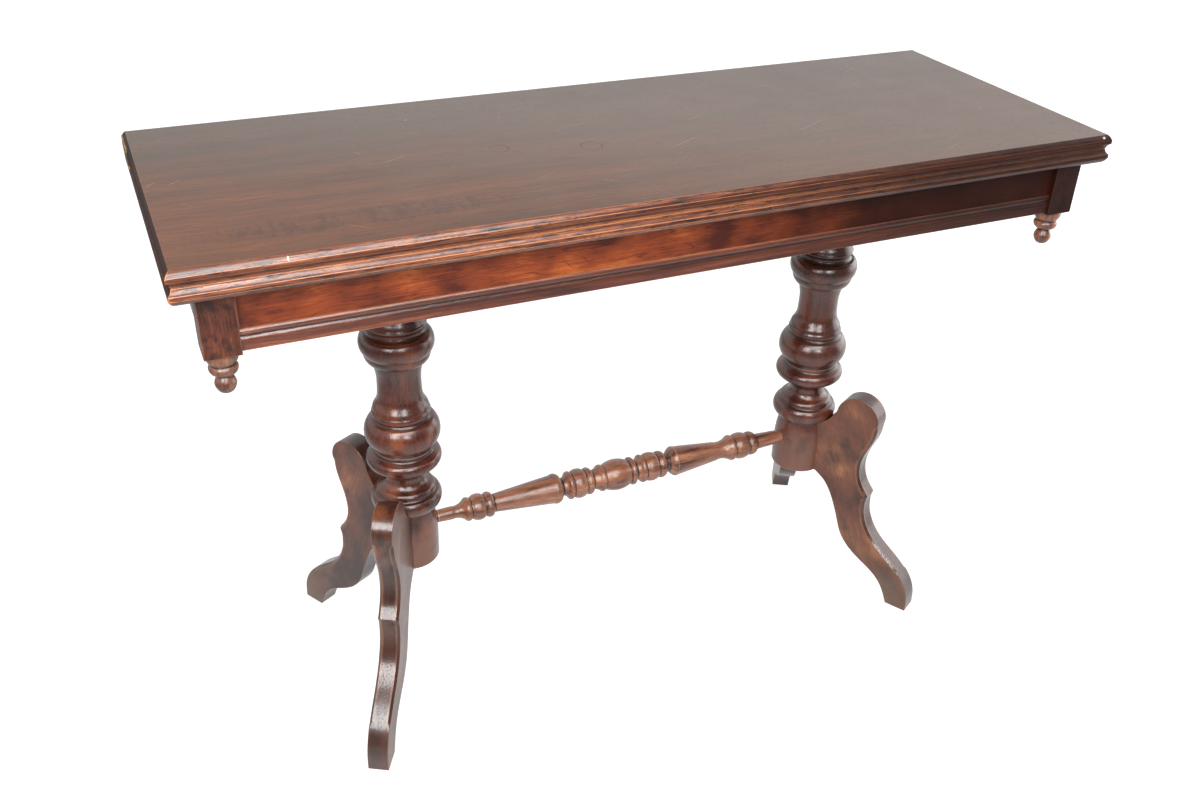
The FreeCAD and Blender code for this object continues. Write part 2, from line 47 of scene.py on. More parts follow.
# The corners of the frame: number, words and directions of each
corners = [(i + 2 * j, word, endWord, side, end)
           for i, (word, side) in enumerate(sides) for j, (endWord, end) in enumerate(ends)]
print("frame loaded,", len(nodes), "nodes")


# Camera: standing front left and above the top
camera = {
    "place": (-0.65008, -1.32149, 1.28689),
    "heading": 25.03,   # degrees from +Y towards +X
    "downTilt": 31.588,
    "roll": -1.996,
    "lens": 35.67,
    "film": 36,         # millimetres wide
    "clip": (0.05, 60),
}


def aimCamera():
    heading, tilt, roll = (math.radians(camera[key]) for key in ("heading", "downTilt", "roll"))
    ahead = Vector((math.sin(heading) * math.cos(tilt), math.cos(heading) * math.cos(tilt), -math.sin(tilt)))
    right = Vector((math.cos(heading), -math.sin(heading), 0))
    down = ahead.cross(right)
    rolledRight = right * math.cos(roll) + down * math.sin(roll)
    rolledDown = down * math.cos(roll) - right * math.sin(roll)
    turn = Matrix((rolledRight, -rolledDown, -ahead)).transposed()
    data = bpy.data.cameras.new("photo camera")
    data.lens = camera["lens"]
    data.sensor_width = camera["film"]
    data.sensor_fit = "HORIZONTAL"
    data.clip_start, data.clip_end = camera["clip"]
    standing = bpy.data.objects.new("photo camera", data)
    standing.matrix_world = Matrix.Translation(camera["place"]) @ turn.to_4x4()
    scene.collection.objects.link(standing)
    scene.camera = standing


aimCamera()
print("camera aimed")


# Node trees
def linear(colour):
    channels = [int(colour[i:i + 2], 16) / 255 for i in (1, 3, 5)]
    return [c / 12.92 if c <= 0.04045 else ((c + 0.055) / 1.055) ** 2.4 for c in channels] + [1]


# Settings that many nodes share
smooth = {"interpolation_type": "SMOOTHSTEP"}
times, plus, larger, timesPlus = ({"operation": word} for word in ("MULTIPLY", "ADD", "MAXIMUM", "MULTIPLY_ADD"))


# One node with its settings, and for each input, named or in order, a value, a socket or a node's first
# output. A kind without "Node" in it is a shader node
def addNode(tree, kind, settings=None, inputs=()):
    node = tree.nodes.new(kind if "Node" in kind else "ShaderNode" + kind)
    for key, value in (settings or {}).items():
        setattr(node, key, value)
    for key, value in inputs.items() if isinstance(inputs, dict) else enumerate(inputs):
        if isinstance(value, bpy.types.Node):
            value = value.outputs[0]
        if isinstance(value, bpy.types.NodeSocket):
            tree.links.new(value, node.inputs[key])
        else:
            node.inputs[key].default_value = value
    return node


# Scale at which a band wave repeats after so many millimetres
def waveScale(period):
    return math.tau / 20 / (period * mm)


def emptyMaterial(name):
    material = bpy.data.materials.new(name)
    material.use_nodes = True
    material.node_tree.nodes.clear()
    return material, partial(addNode, material.node_tree)


# Cloudy streaks along the first axis of a place: their length and width in millimetres, and a shift that
# moves them to another part of the noise
def streaks(add, place, size, detail=3.0, roughness=0.55, shift=0.0):
    stretched = add("Mapping", None, {
        "Vector": place, "Location": (shift, shift, shift),
        "Scale": (1000 / size[0], 1000 / size[1], 1000 / size[1])})
    return add("TexNoise", None, {"Vector": stretched, "Scale": 1.0, "Detail": detail, "Roughness": roughness})


# How far a place lies from the middle of an oval spot, 1 on its rim: middle and reach in millimetres,
# and without a third number the spot goes right through
def fromSpot(add, place, middle, reach, degrees=0):
    local = add("Mapping", {"vector_type": "TEXTURE"}, {
        "Vector": place, "Location": [value * mm for value in (*middle, 0)[:3]],
        "Rotation": (0, 0, math.radians(degrees)), "Scale": [value * mm for value in (*reach, 1e6)[:3]]})
    return add("VectorMath", {"operation": "LENGTH"}, (local,)).outputs["Value"]


# Polished old wood: fibres in three sizes, growth lines, pores, rubbed arrises, and dirt with painted shade in the
# hollows.
# Sizes in millimetres run along and across the fibres; pores and streaks are drawn two to three times
# coarser than real ones, so that they still read over a whole table
woodDefaults = {
    "figure": (260, 16), "streak": (80, 2.6), "streakShare": 0.45, "cloud": 70, "sway": 130, "swayReach": 5,
    "lines": (340, 22), "lineCount": 8, "lineRise": 8, "lineWidth": 0.08, "lineShare": 0.22,
    "pore": (11, 1.1), "poreStart": 0.60, "poreFade": 0.12, "poreShare": 0.45, "poreColour": "#241109",
    "bare": "#b9703f", "wear": 0.75, "wearSize": (34, 9), "grime": "#1b100c", "grimeShare": 0.8, "grimeRough": 0.25,
    "roughness": 0.45, "roughnessSpread": 0.14, "coat": 0.5, "coatRoughness": 0.24, "specular": 0.12,
    "grainBump": 0.22, "grainDepth": 0.0007, "poreDepth": -1.4, "waveBump": 0.12, "waveDepth": 0.004,
    "flame": 0.0, "flamePeriod": 64, "flameLean": 24, "knots": (),   # each knot: middle, reach, swell
    "ripple": 0.0, "rippleDab": (9, 26), "patches": 0.0, "patchSize": (90, 6), "patchColour": "#240e08",
    "shades": (), "drift": 0.3, "dull": 0.0,   # each shade: axis of the table, from, to, share, colour
    "bloom": 0.0, "bloomLean": 0.60, "bloomColour": "#7b6d64",
    "rings": (), "ringShare": 0.6, "marks": (),   # each mark: middle, reach, degrees, share, colour
    "scratches": 0.0, "scratchLines": ((28, (150, 1.3), 1.3), (-49, (70, 1.1), 8.2)),   # degrees, size, shift
    "scratchColour": "#cdb09a", "dotSpacing": 34, "dotShare": 0.78,
    "readsObject": False, "turn": (0, 0, 0)}
# Where each layer starts and where it is full, on the value that carries it
layerSpans = {
    "base": (-0.22, 0.06), "light": (0.02, 0.30), "ripple": (0.40, 0.60), "patches": (0.48, 0.68),
    "wear": (0.95, 1.45), "bloom": (-0.46, 0.14), "grime": (0.45, 1.15), "ring": (0.28, 0.15), "mark": (1.0, 0.4),
    "rippleEdge": (1.1, 0.3), "scratch": (0.745, 0.785), "dot": (0.045, 0.02)}
# How much a cloud or a streak roughens the rim of these layers
rimNoise = {"wear": 1.1, "grime": 0.7, "ring": 0.35}


def polishedWood(name, choices):
    look = {**woodDefaults, **choices}
    material, add = emptyMaterial(name)
    standing = add("TexCoord").outputs["Object"]
    if look["readsObject"]:
        place = add("Mapping", None, {"Vector": standing, "Rotation": [math.radians(a) for a in look["turn"]]})
    else:
        place = add("Attribute", {"attribute_name": "grainPlace"}).outputs["Vector"]
    parts = add("SeparateXYZ", None, (place,)).outputs

    sway = add("TexNoise", None, {"Vector": place, "Scale": 1000 / look["sway"], "Detail": 2.0})
    reach = look["swayReach"] * mm * 2
    fibre = add("VectorMath", timesPlus, (sway.outputs["Color"], (0.0, reach, reach), place))
    figure = streaks(add, fibre, look["figure"], 4.0)
    streak = streaks(add, fibre, look["streak"], 2.0, 0.5, 3.7)
    pore = streaks(add, fibre, look["pore"], 1.0, 0.5, 9.1)
    cloud = add("TexNoise", None, {"Vector": place, "Scale": 1000 / look["cloud"], "Detail": 3.0})

    depth = add("Math", timesPlus, (streak, look["streakShare"], figure))
    middle = 0.5 + (look["streakShare"] + look["flame"]) / 2
    if look["flame"]:   # crotch veneer: soft bands that lean across the board
        bands = add("TexWave", {"wave_type": "BANDS", "bands_direction": "X"}, {
            "Vector": add("Mapping", None, {"Vector": fibre, "Rotation": (0, 0, math.radians(look["flameLean"]))}),
            "Scale": waveScale(look["flamePeriod"]), "Distortion": 7.0, "Detail": 3.0,
            "Detail Scale": 1.4}).outputs["Fac"]
        depth = add("Math", timesPlus, (bands, look["flame"], depth))
    # growth lines: a steady rise across the fibres keeps them fine where the noise is flat
    rise = (0, look["lineRise"], look["lineRise"])
    growth = add("VectorMath", {"operation": "DOT_PRODUCT"}, (fibre, rise))
    growth = add("Math", plus, (growth.outputs["Value"], streaks(add, fibre, look["lines"], 1.0, 0.5, 4.4)))
    for spot, size, swell in look["knots"]:   # growth lines bend round a knot
        near = add("MapRange", smooth, {
            "Value": fromSpot(add, place, spot, size), "From Min": 1.0, "From Max": 0.0, "To Max": swell})
        growth = add("Math", plus, (growth, near))
    growth = add("Math", times, (growth, look["lineCount"]))
    growth = add("Math", {"operation": "PINGPONG"}, (growth, 0.5))

    # Each layer: a value, where it starts and where it is full, its greatest share and its colour
    layers = {
        label: (depth, *(middle + value for value in layerSpans[label]), 1.0, look[label])
        for label in ("base", "light")}
    layers["lines"] = (growth, look["lineWidth"], 0.0, look["lineShare"], look["dark"])
    if look["ripple"]:   # dark dabs across the grain in one oval part of the board
        low, high = layerSpans["rippleEdge"]
        part = add("MapRange", smooth, {
            "Value": fromSpot(add, fibre, *look["rippleSpot"]), "From Min": low, "From Max": high})
        dabs = add("Math", times, (streaks(add, fibre, look["rippleDab"], 3.0, 0.62, 5.3), part))
        layers["ripple"] = (dabs, *layerSpans["ripple"], look["ripple"], look["patchColour"])
    if look["patches"]:   # dark varnish that stayed in irregular patches
        layers["patches"] = (streaks(add, place, look["patchSize"], 4.0, 0.6, 6.4), *layerSpans["patches"],
                             look["patches"], look["patchColour"])
    rubbed = add("Attribute", {"attribute_name": "wear"}).outputs["Fac"]
    rubbed = add("Math", timesPlus, (streaks(add, place, look["wearSize"], 3.0, 0.6, 2.2), rimNoise["wear"], rubbed))
    layers["wear"] = (rubbed, *layerSpans["wear"], look["wear"], look["bare"])
    drift = add("Math", timesPlus, (cloud, look["drift"], -look["drift"] / 2))
    # shades: colour drawn darker or lighter along one axis of the table; several of them are painted shade where the
    # light falls off
    for number, (axis, low, high, share, tint) in enumerate(look["shades"]):   # along one axis of the table, metres
        along = add("SeparateXYZ", None, (standing,)).outputs[axis]
        along = add("Math", plus, (along, drift))
        layers[f"shade {number}"] = (along, low, high, share, tint)
    if look["bloom"]:   # painted grey sheen standing in for the reflection of the bright room, thicker towards the back and the right of the top
        lean = add("Math", timesPlus, (parts[0], look["bloomLean"], drift))
        lean = add("Math", {"operation": "SUBTRACT"}, (lean, parts[1]))
        layers["bloom"] = (lean, *layerSpans["bloom"], look["bloom"], look["bloomColour"])
    poreFull = look["poreStart"] + look["poreFade"]
    layers["pores"] = (pore, look["poreStart"], poreFull, look["poreShare"], look["poreColour"])

    # dirt and painted shade: hollows are drawn darker where the surface bends inward
    dirty = add("Attribute", {"attribute_name": "grime"}).outputs["Fac"]
    dirty = add("Math", timesPlus, (cloud, rimNoise["grime"], dirty))
    layers["grime"] = (dirty, *layerSpans["grime"], look["grimeShare"], look["grime"])

    for number, (spot, radius) in enumerate(look["rings"]):   # mark of a wet glass
        rim = add("Math", {"operation": "SUBTRACT"}, (fromSpot(add, fibre, spot, (radius, radius)), 1.0))
        rim = add("Math", {"operation": "ABSOLUTE"}, (rim,))
        rim = add("Math", timesPlus, (cloud, rimNoise["ring"], rim))
        layers[f"ring {number}"] = (rim, *layerSpans["ring"], look["ringShare"], look["patchColour"])
    for number, (spot, size, degrees, share, tint) in enumerate(look["marks"]):   # nicks and single scratches
        distance = fromSpot(add, standing, spot, size, degrees)
        layers[f"mark {number}"] = (distance, *layerSpans["mark"], share, tint)
    if look["scratches"]:   # rubbed lines in two directions, and pale specks
        marks = []
        low, high = layerSpans["scratch"]
        for angle, size, shift in look["scratchLines"]:
            turned = add("Mapping", None, {"Vector": place, "Rotation": (0, 0, math.radians(angle))})
            marks.append(add("MapRange", smooth, {
                "Value": streaks(add, turned, size, 2.0, 0.5, shift), "From Min": low, "From Max": high}))
        dots = add("TexVoronoi", {"feature": "F1"}, {"Vector": place, "Scale": 1000 / look["dotSpacing"]})
        low, high = layerSpans["dot"]
        near = add("MapRange", smooth, {"Value": dots.outputs["Distance"], "From Min": low, "From Max": high})
        odd = add("SeparateColor", None, (dots.outputs["Color"],))
        few = add("Math", {"operation": "GREATER_THAN"}, (odd, look["dotShare"]))
        marks.append(add("Math", times, (near, few)))
        for other in marks[1:]:
            marks[0] = add("Math", larger, (marks[0], other))
        layers["scratches"] = (marks[0], 0.0, 1.0, look["scratches"], look["scratchColour"])

    colour = linear(look["dark"])
    shares = {}
    for label, (value, low, high, share, tint) in layers.items():
        shares[label] = add("MapRange", smooth, {"Value": value, "From Min": low, "From Max": high, "To Max": share})
        colour = add("Mix", {"data_type": "RGBA"}, {0: shares[label], 6: colour, 7: linear(tint)}).outputs[2]

    rough = add("MapRange", None, {
        "Value": cloud, "From Min": 0.3, "From Max": 0.7,
        "To Min": look["roughness"] - look["roughnessSpread"] / 2,
        "To Max": look["roughness"] + look["roughnessSpread"] / 2})
    rough = add("Math", {"operation": "MULTIPLY_ADD", "use_clamp": True}, (
        shares["grime"], look["grimeRough"], rough))
    height = add("Math", timesPlus, (shares["pores"], look["poreDepth"], streak))
    fine = add("Bump", None, {"Strength": look["grainBump"], "Distance": look["grainDepth"], "Height": height})
    wide = add("Bump", None, {
        "Strength": look["waveBump"], "Distance": look["waveDepth"], "Height": cloud, "Normal": fine})
    coat = look["coat"]
    if look["dull"]:   # the coat thins where the first shade layer darkens the colour
        coat = add("Math", timesPlus, (shares["shade 0"], -look["dull"] * coat, coat))
    shader = add("BsdfPrincipled", None, {
        "Base Color": colour, "Roughness": rough, "Normal": wide,
        "Coat Weight": coat, "Coat Roughness": look["coatRoughness"], "Coat IOR": 1.6,   # shellac under wax
        "Coat Normal": wide, "Specular IOR Level": look["specular"]})
    add("OutputMaterial", None, {"Surface": shader})
    return material


# Varnish in clouds over sawn hardwood, worn through along the arrises
legLook = {
    "figure": (110, 70), "streak": (60, 2.4), "streakShare": 0.14, "lines": (200, 40), "lineShare": 0.15,
    "bare": "#9a6442", "roughness": 0.42}

# The woods of the table
woods = {
    # French-polished mahogany: warm red-brown at the front, a painted grey sheen of reflected light further back,
    # fine straight grain
    "top_wood": polishedWood("French-polished mahogany", {
        "dark": "#543019", "base": "#683b1f", "light": "#7d4926", "figure": (420, 34), "streak": (60, 1.6),
        "streakShare": 0.9, "lines": (900, 60), "lineCount": 12, "lineShare": 0.18, "pore": (9, 1.0),
        "poreShare": 0.4, "ripple": 0.50, "rippleSpot": ((-390, 152), (330, 48)), "patchColour": "#3a2118",
        "rings": (((-69, 31), 13.5), ((-180, 3), 12.0)),
        "marks": (((-322, 178), (30, 0.7), -30, 0.5, "#b98264"), ((-346, 43), (9, 0.9), -62, 0.5, "#b9805c"),
                  ((-586, 20), (13, 0.7), 48, 0.5, "#c09a80"), ((-560, 18), (11, 0.6), 36, 0.5, "#c09a80"),
                  ((-258, 142), (2.2, 1.6), 0, 0.7, "#c0a894"), ((586, -169), (2.5, 1.8), 0, 0.7, "#1d100b"),
                  ((569, -187), (4.0, 2.0), 20, 0.7, "#1d100b"), ((553, -150), (2.6, 1.8), 0, 0.6, "#1d100b"),
                  ((590, -140), (3.0, 1.8), 0, 0.6, "#1d100b"), ((-398, -170), (20, 0.6), -38, 0.6, "#b9724a")),
        "shades": ((1, -0.04, 0.18, 0.5, "#352e28"),),
        # a painted grey sheen over the back and the right of the top stands in for reflected light
        "scratches": 0.6, "bloom": 0.66, "roughness": 0.40,
        "roughnessSpread": 0.10, "coat": 0.47, "coatRoughness": 0.19, "specular": 0.05, "waveBump": 0.03,
        "grainBump": 0.12, "bare": "#c27a4c"}),
    # Stained mahogany rails: satin varnish over a warmer, streakier board
    "rail_wood": polishedWood("stained mahogany board", {"dark": "#3f190d", "base": "#632c18", "light": "#7d3d22"}),
    # Crotch mahogany veneer: cloudy orange flame, growth lines that curl round a knot, dark at its right end from
    # darker stain and from painted shade where the light falls off
    "veneer": polishedWood("flame mahogany veneer", {
        "dark": "#481b0f", "base": "#7e3719", "light": "#b05c28", "flame": 0.10, "figure": (80, 40),
        "streak": (50, 2.0), "streakShare": 0.3, "lines": (240, 24), "lineCount": 13, "lineWidth": 0.07,
        "lineShare": 0.7,
        "knots": (((-262, -711), (60, 17), 0.30), ((150, -712), (90, 14), 0.22), ((-505, -705), (36, 16), 0.25)),
        # darker towards the right end: darker stain, and painted shade where the light falls off
        "grainBump": 0.1, "shades": ((0, -0.05, 0.26, 0.96, "#220804"),), "wear": 0.3, "dull": 0.8,
        "coat": 0.42, "coatRoughness": 0.22}),
    # Scraped moulding: straight grain, with dirt and painted shade in the quirks
    "moulding_wood": polishedWood("scraped mahogany moulding", {
        "dark": "#38160d", "base": "#5e2c1b", "light": "#874a30", "figure": (300, 9), "wear": 0.5, "bare": "#b57a56",
        # the right end is darker: painted shade where the light falls off
        "patches": 0.4, "coat": 1.0, "coatRoughness": 0.21, "shades": ((0, -0.05, 0.45, 0.75, "#200c07"),),
        "dull": 0.6}),
    # Stained corner blocks: dark, rubbed grey-brown at their arrises
    "block_wood": polishedWood("dark stained block", {
        "dark": "#2c130e", "base": "#572b1d", "light": "#734029", "figure": (46, 30), "streak": (30, 1.6),
        "streakShare": 0.5, "wear": 0.45, "bare": "#94634c", "patches": 0.85, "patchSize": (18, 14),
        # the right blocks are darker: painted shade where the light falls off
        "patchColour": "#241412", "shades": ((0, 0.2, 0.5, 0.85, "#1c0a07"),), "dull": 0.7}),
    # Lathe-turned hardwood under a thick dark varnish: near black hollows of dirt and painted shade, glossy shoulders
    "column_wood": polishedWood("varnished turned hardwood", {
        "dark": "#190604", "base": "#4c1f13", "light": "#7b3f22", "figure": (70, 34), "streak": (30, 2.2),
        "streakShare": 0.25, "lineShare": 0.12, "pore": (4, 1.5), "poreColour": "#8a4524", "poreShare": 0.24,
        "poreStart": 0.54, "wear": 0.5, "bare": "#8a6654", "grimeShare": 0.9, "roughness": 0.42, "coat": 0.9,
        "coatRoughness": 0.21, "patches": 0.5, "patchSize": (50, 26), "patchColour": "#180906",
        # the foot is drawn paler; the neck under the top and the whole right column are darker: painted shade
        "shades": ((2, 0.31, 0.25, 0.55, "#8e5e49"), (2, 0.53, 0.64, 0.85, "#110504"),
                   (0, 0.1, 0.3, 0.35, "#3b1a12"))}),
    # Band-sawn legs: the same dark varnish in clouds, thinner, worn through along the arrises
    "leg_wood": polishedWood("varnished sawn hardwood", {
        **legLook, "dark": "#32170f", "base": "#6a3c2a", "light": "#a86f46", "wear": 0.35, "coat": 0.75,
        "coatRoughness": 0.22, "patches": 0.85, "patchSize": (90, 60), "patchColour": "#2b1812",
        "shades": ((2, 0.12, -0.04, 0.65, "#77604f"),)}),
    # Lathe-turned paler wood: orange-brown, long streaks, thin varnish, coves darkened with dirt and painted shade
    "turned_light_wood": polishedWood("varnished turned walnut", {
        "dark": "#482619", "base": "#8a5840", "light": "#ba8464", "figure": (90, 14), "wear": 0.4,
        "bare": "#d3bda8", "lines": (200, 10), "lineShare": 0.2, "streakShare": 0.3, "coat": 1.0,
        "coatRoughness": 0.26, "grimeShare": 0.95, "patches": 0.3, "patchSize": (120, 40), "patchColour": "#43201a"}),
}
# The moulded edges are the same mahogany, but handled: redder, patchy and glossier
frontEdge = polishedWood("handled mahogany edge", {
    "dark": "#431a0e", "base": "#783f25", "light": "#a9683f", "figure": (240, 7), "streak": (60, 1.6),
    "streakShare": 0.8, "patches": 1.0, "patchSize": (26, 4), "patchColour": "#220a06", "scratches": 0.5,
    "wear": 0.75, "bare": "#cf8350", "pore": (5, 1.4), "poreShare": 0.6, "coat": 1.0, "coatRoughness": 0.22,
    # darker towards the right end: painted shade where the light falls off
    "shades": ((0, -0.15, 0.38, 0.85, "#210a05"),), "dull": 0.65,
    "marks": (((0, -217, 768), (3000, 60, 5), 0, 0.62, "#3d140c"),   # the redder band under the rim
              ((-481, -214, 776), (1.2, 6, 3.2), 0, 0.9, "#eadfd6"),
              # at the right front corner a near black chip, with a painted white glint beside it
              ((598, -216, 776), (12, 8, 6), 0, 0.9, "#0b0605"), ((586, -215, 777), (3, 3, 2), 0, 0.8, "#e8e0d8"))})
# The end mouldings are drawn near black under a dry polish
endEdge = polishedWood("dark end moulding", {
    "dark": "#160a07", "base": "#27110b", "light": "#3c1c12", "figure": (180, 8), "streak": (50, 1.6),
    "patches": 0.6, "patchSize": (60, 5), "wear": 0.25, "bare": "#a86a48", "roughness": 0.6, "coat": 0.15,
    "coatRoughness": 0.3, "specular": 0.1})
# The curved edges of the legs are drawn darker and glossier than their sawn sides
legEdge = polishedWood("varnished leg edge", {
    **legLook, "dark": "#24100b", "base": "#482519", "light": "#824b30", "figure": (110, 40), "wear": 0.4,
    "coat": 0.9, "coatRoughness": 0.2, "patches": 0.8, "patchSize": (60, 30), "patchColour": "#20110c",
    "shades": ((2, 0.10, -0.04, 0.5, "#6d5444"),)})

# Bare old beech, planed and never varnished: dry, dull and yellow-brown
bareBeech = {
    "dark": "#6d4a2d", "base": "#8f683f", "light": "#a98052", "poreColour": "#4e331d", "lineShare": 0.3,
    "coat": 0.0, "roughness": 0.68, "readsObject": True, "wear": 0.0, "grimeShare": 0.35}
beechAcross = polishedWood("bare beech across", {**bareBeech, "turn": (0, 0, 90)})
beechAlong = polishedWood("bare beech along", bareBeech)


# Metals: cast and filed brass, gone brown with handling, and plain steel. Sizes in millimetres; file marks
# are drawn coarser than real ones
metalLook = {"cloud": 6, "fileLength": 14, "tarnish": (0.38, 0.66), "roughnessSpread": (-0.08, 0.14),
             "bump": 0.2, "bumpDepth": 0.0002}


def wornMetal(name, bright, dull, roughness, fileWidth):
    material, add = emptyMaterial(name)
    place = add("TexCoord").outputs["Object"]
    cloud = add("TexNoise", None, {"Vector": place, "Scale": 1000 / metalLook["cloud"], "Detail": 4.0})
    filed = streaks(add, place, (metalLook["fileLength"], fileWidth), 2.0)
    start, full = metalLook["tarnish"]
    tarnish = add("MapRange", smooth, {"Value": cloud, "From Min": start, "From Max": full})
    colour = add("Mix", {"data_type": "RGBA"}, {0: tarnish, 6: linear(bright), 7: linear(dull)}).outputs[2]
    low, high = (roughness + value for value in metalLook["roughnessSpread"])
    rough = add("MapRange", None, {"Value": cloud, "From Min": 0.3, "From Max": 0.7, "To Min": low, "To Max": high})
    bump = add("Bump", None, {"Strength": metalLook["bump"], "Distance": metalLook["bumpDepth"], "Height": filed})
    shader = add("BsdfPrincipled", None, {"Base Color": colour, "Roughness": rough, "Metallic": 1.0, "Normal": bump})
    add("OutputMaterial", None, {"Surface": shader})
    return material


agedBrass = wornMetal("filed brass gone brown", "#c39a55", "#6e5028", 0.34, 0.5)
screwSteel = wornMetal("plain steel screw", "#9a9894", "#4f4a45", 0.40, 0.4)
print("materials made,", len(bpy.data.materials))


# Lines: rows of pairs, where one pair is a straight run, two an arc through both, more a smooth curve
def tracedLine(rows, step=0.25):
    line = [np.array(rows[0], float)]
    for row in rows[1:]:
        stops = np.array([line[-1]] + [row[i:i + 2] for i in range(0, len(row), 2)], float)
        chords = np.linalg.norm(np.diff(stops, axis=0), axis=1)
        count = max(2, int(chords.sum() / step))
        if len(stops) == 2:
            run = stops[0] + np.linspace(0, 1, count + 1)[1:, None] * (stops[1] - stops[0])
        elif len(stops) == 3:
            run = arcThrough(stops, count)
        else:
            run = smoothThrough(stops, chords, count)
        line += list(run)
    return np.array(line)


def arcThrough(stops, count):
    (ax, ay), (bx, by), (cx, cy) = stops
    twice = 2 * (ax * (by - cy) + bx * (cy - ay) + cx * (ay - by))
    squares = (stops ** 2).sum(axis=1)
    centre = np.array([
        (squares[0] * (by - cy) + squares[1] * (cy - ay) + squares[2] * (ay - by)) / twice,
        (squares[0] * (cx - bx) + squares[1] * (ax - cx) + squares[2] * (bx - ax)) / twice])
    start, middle, stop = (math.atan2(*(p - centre)[::-1]) for p in stops)
    toMiddle = (middle - start) % math.tau
    toStop = (stop - start) % math.tau
    if toMiddle > toStop:
        toStop -= math.tau
    angles = start + np.linspace(0, 1, count + 1)[1:] * toStop
    radius = np.linalg.norm(stops[0] - centre)
    return centre + radius * np.stack([np.cos(angles), np.sin(angles)], axis=1)


# Natural cubic spline over the chord lengths
def smoothThrough(stops, chords, count):
    total = len(stops)
    system = np.eye(total)
    right = np.zeros((total, 2))
    for i in range(1, total - 1):
        system[i, i - 1:i + 2] = chords[i - 1], 2 * (chords[i - 1] + chords[i]), chords[i]
        right[i] = 6 * ((stops[i + 1] - stops[i]) / chords[i] - (stops[i] - stops[i - 1]) / chords[i - 1])
    bends = np.linalg.solve(system, right)
    knots = np.concatenate([[0], np.cumsum(chords)])
    at = np.linspace(0, knots[-1], count + 1)[1:]
    span = np.clip(np.searchsorted(knots, at) - 1, 0, total - 2)
    width = chords[span][:, None]
    ahead = (knots[span + 1] - at)[:, None]
    behind = (at - knots[span])[:, None]
    near, far = bends[span], bends[span + 1]
    return (near * ahead ** 3 + far * behind ** 3) / (6 * width) + (
        stops[span] / width - near * width / 6) * ahead + (stops[span + 1] / width - far * width / 6) * behind


def evenSteps(line, step):
    lengths = np.concatenate([[0], np.cumsum(np.linalg.norm(np.diff(line, axis=0), axis=1))])
    at = np.linspace(0, lengths[-1], max(2, int(round(lengths[-1] / step))) + 1)
    return np.stack([np.interp(at, lengths, line[:, k]) for k in range(line.shape[1])], axis=1)


# Rounds every arris and quirk of a line by averaging along it; the ends stay where they are
def softened(line, radius, step=0.15, closed=False):
    line = evenSteps(line, step)
    reach = int(3 * radius / step)
    weights = np.exp(-0.5 * (np.arange(-reach, reach + 1) * step / radius) ** 2)
    weights /= weights.sum()
    if closed:
        body = line[:-1]
        padded = np.concatenate([body[-reach:], body, body[:reach]])
    else:
        padded = np.concatenate([2 * line[0] - line[reach:0:-1], line, 2 * line[-1] - line[-2:-reach - 2:-1]])
    return np.stack([np.convolve(padded[:, k], weights, "valid") for k in range(line.shape[1])], axis=1)


# Leaves out the points of a line that lie within a small distance of straight
def thinned(line, tolerance, longest):
    keep = np.zeros(len(line), bool)
    middle = len(line) // 2
    keep[[0, middle, -1]] = True
    spans = [(0, middle), (middle, len(line) - 1)]
    while spans:
        first, last = spans.pop()
        if last - first < 2:
            continue
        run = line[last] - line[first]
        length = max(np.linalg.norm(run), 1e-9)
        off = line[first + 1:last] - line[first]
        gaps = np.abs(off[:, 0] * run[1] - off[:, 1] * run[0]) / length
        worst = int(gaps.argmax())
        if gaps[worst] > tolerance or length > longest:
            middle = first + 1 + (worst if gaps[worst] > tolerance else (last - first) // 2)
            middle = min(middle, last - 1)
            keep[middle] = True
            spans += [(first, middle), (middle, last)]
    return line[keep]


# Meshes
def meshOf(name, points, faces):
    mesh = bpy.data.meshes.new(name)
    mesh.from_pydata([tuple(p) for p in points], [], faces)
    mesh.validate()
    return mesh


def mergedMesh(mesh, distance=1e-6):
    work = bmesh.new()
    work.from_mesh(mesh)
    bmesh.ops.remove_doubles(work, verts=work.verts, dist=distance)
    bmesh.ops.dissolve_degenerate(work, edges=work.edges, dist=1e-7)
    bmesh.ops.recalc_face_normals(work, faces=work.faces)
    work.to_mesh(mesh)
    work.free()
    return mesh


# Faces of a grid of rows by columns, closed round where asked
def gridFaces(rows, columns, start=0, wrapRows=False):
    faces = []
    for i in range(rows if wrapRows else rows - 1):
        for j in range(columns - 1):
            a = start + i * columns + j
            b = start + ((i + 1) % rows) * columns + j
            faces.append((a, a + 1, b + 1, b))
    return faces


def valuesOf(items, name, width, kind=float):
    flat = np.empty(len(items) * width, kind)
    items.foreach_get(name, flat)
    return flat.reshape(-1, width)


def pointsOf(mesh):
    return valuesOf(mesh.vertices, "co", 3)


def dress(mesh, *materials):
    mesh.materials.clear()
    for material in materials:
        mesh.materials.append(material)


def storeAttribute(mesh, name, kind, values):
    layer = mesh.attributes.new(name, kind, "POINT")
    layer.data.foreach_set("vector" if kind == "FLOAT_VECTOR" else "value", values.astype(np.float32).ravel())


# How sharply the surface bends at each point: positive on arrises, negative in hollows, in 1/m
def bendOf(mesh, passes):
    points = pointsOf(mesh)
    normals = valuesOf(mesh.vertex_normals, "vector", 3)
    a, b = valuesOf(mesh.edges, "vertices", 2, int).T
    run = points[b] - points[a]
    square = np.maximum((run ** 2).sum(axis=1), 1e-9)
    count = np.bincount(a, minlength=len(points)) + np.bincount(b, minlength=len(points))
    count = np.maximum(count, 1)

    def gathered(toA, toB):
        return (np.bincount(a, toA, len(points)) + np.bincount(b, toB, len(points))) / count

    bend = gathered(-2 * (run * normals[a]).sum(axis=1) / square, 2 * (run * normals[b]).sum(axis=1) / square)
    for step in range(passes):   # spreads it over the neighbours, as rubbing does
        bend = 0.5 * bend + 0.5 * gathered(bend[b], bend[a])
    return bend


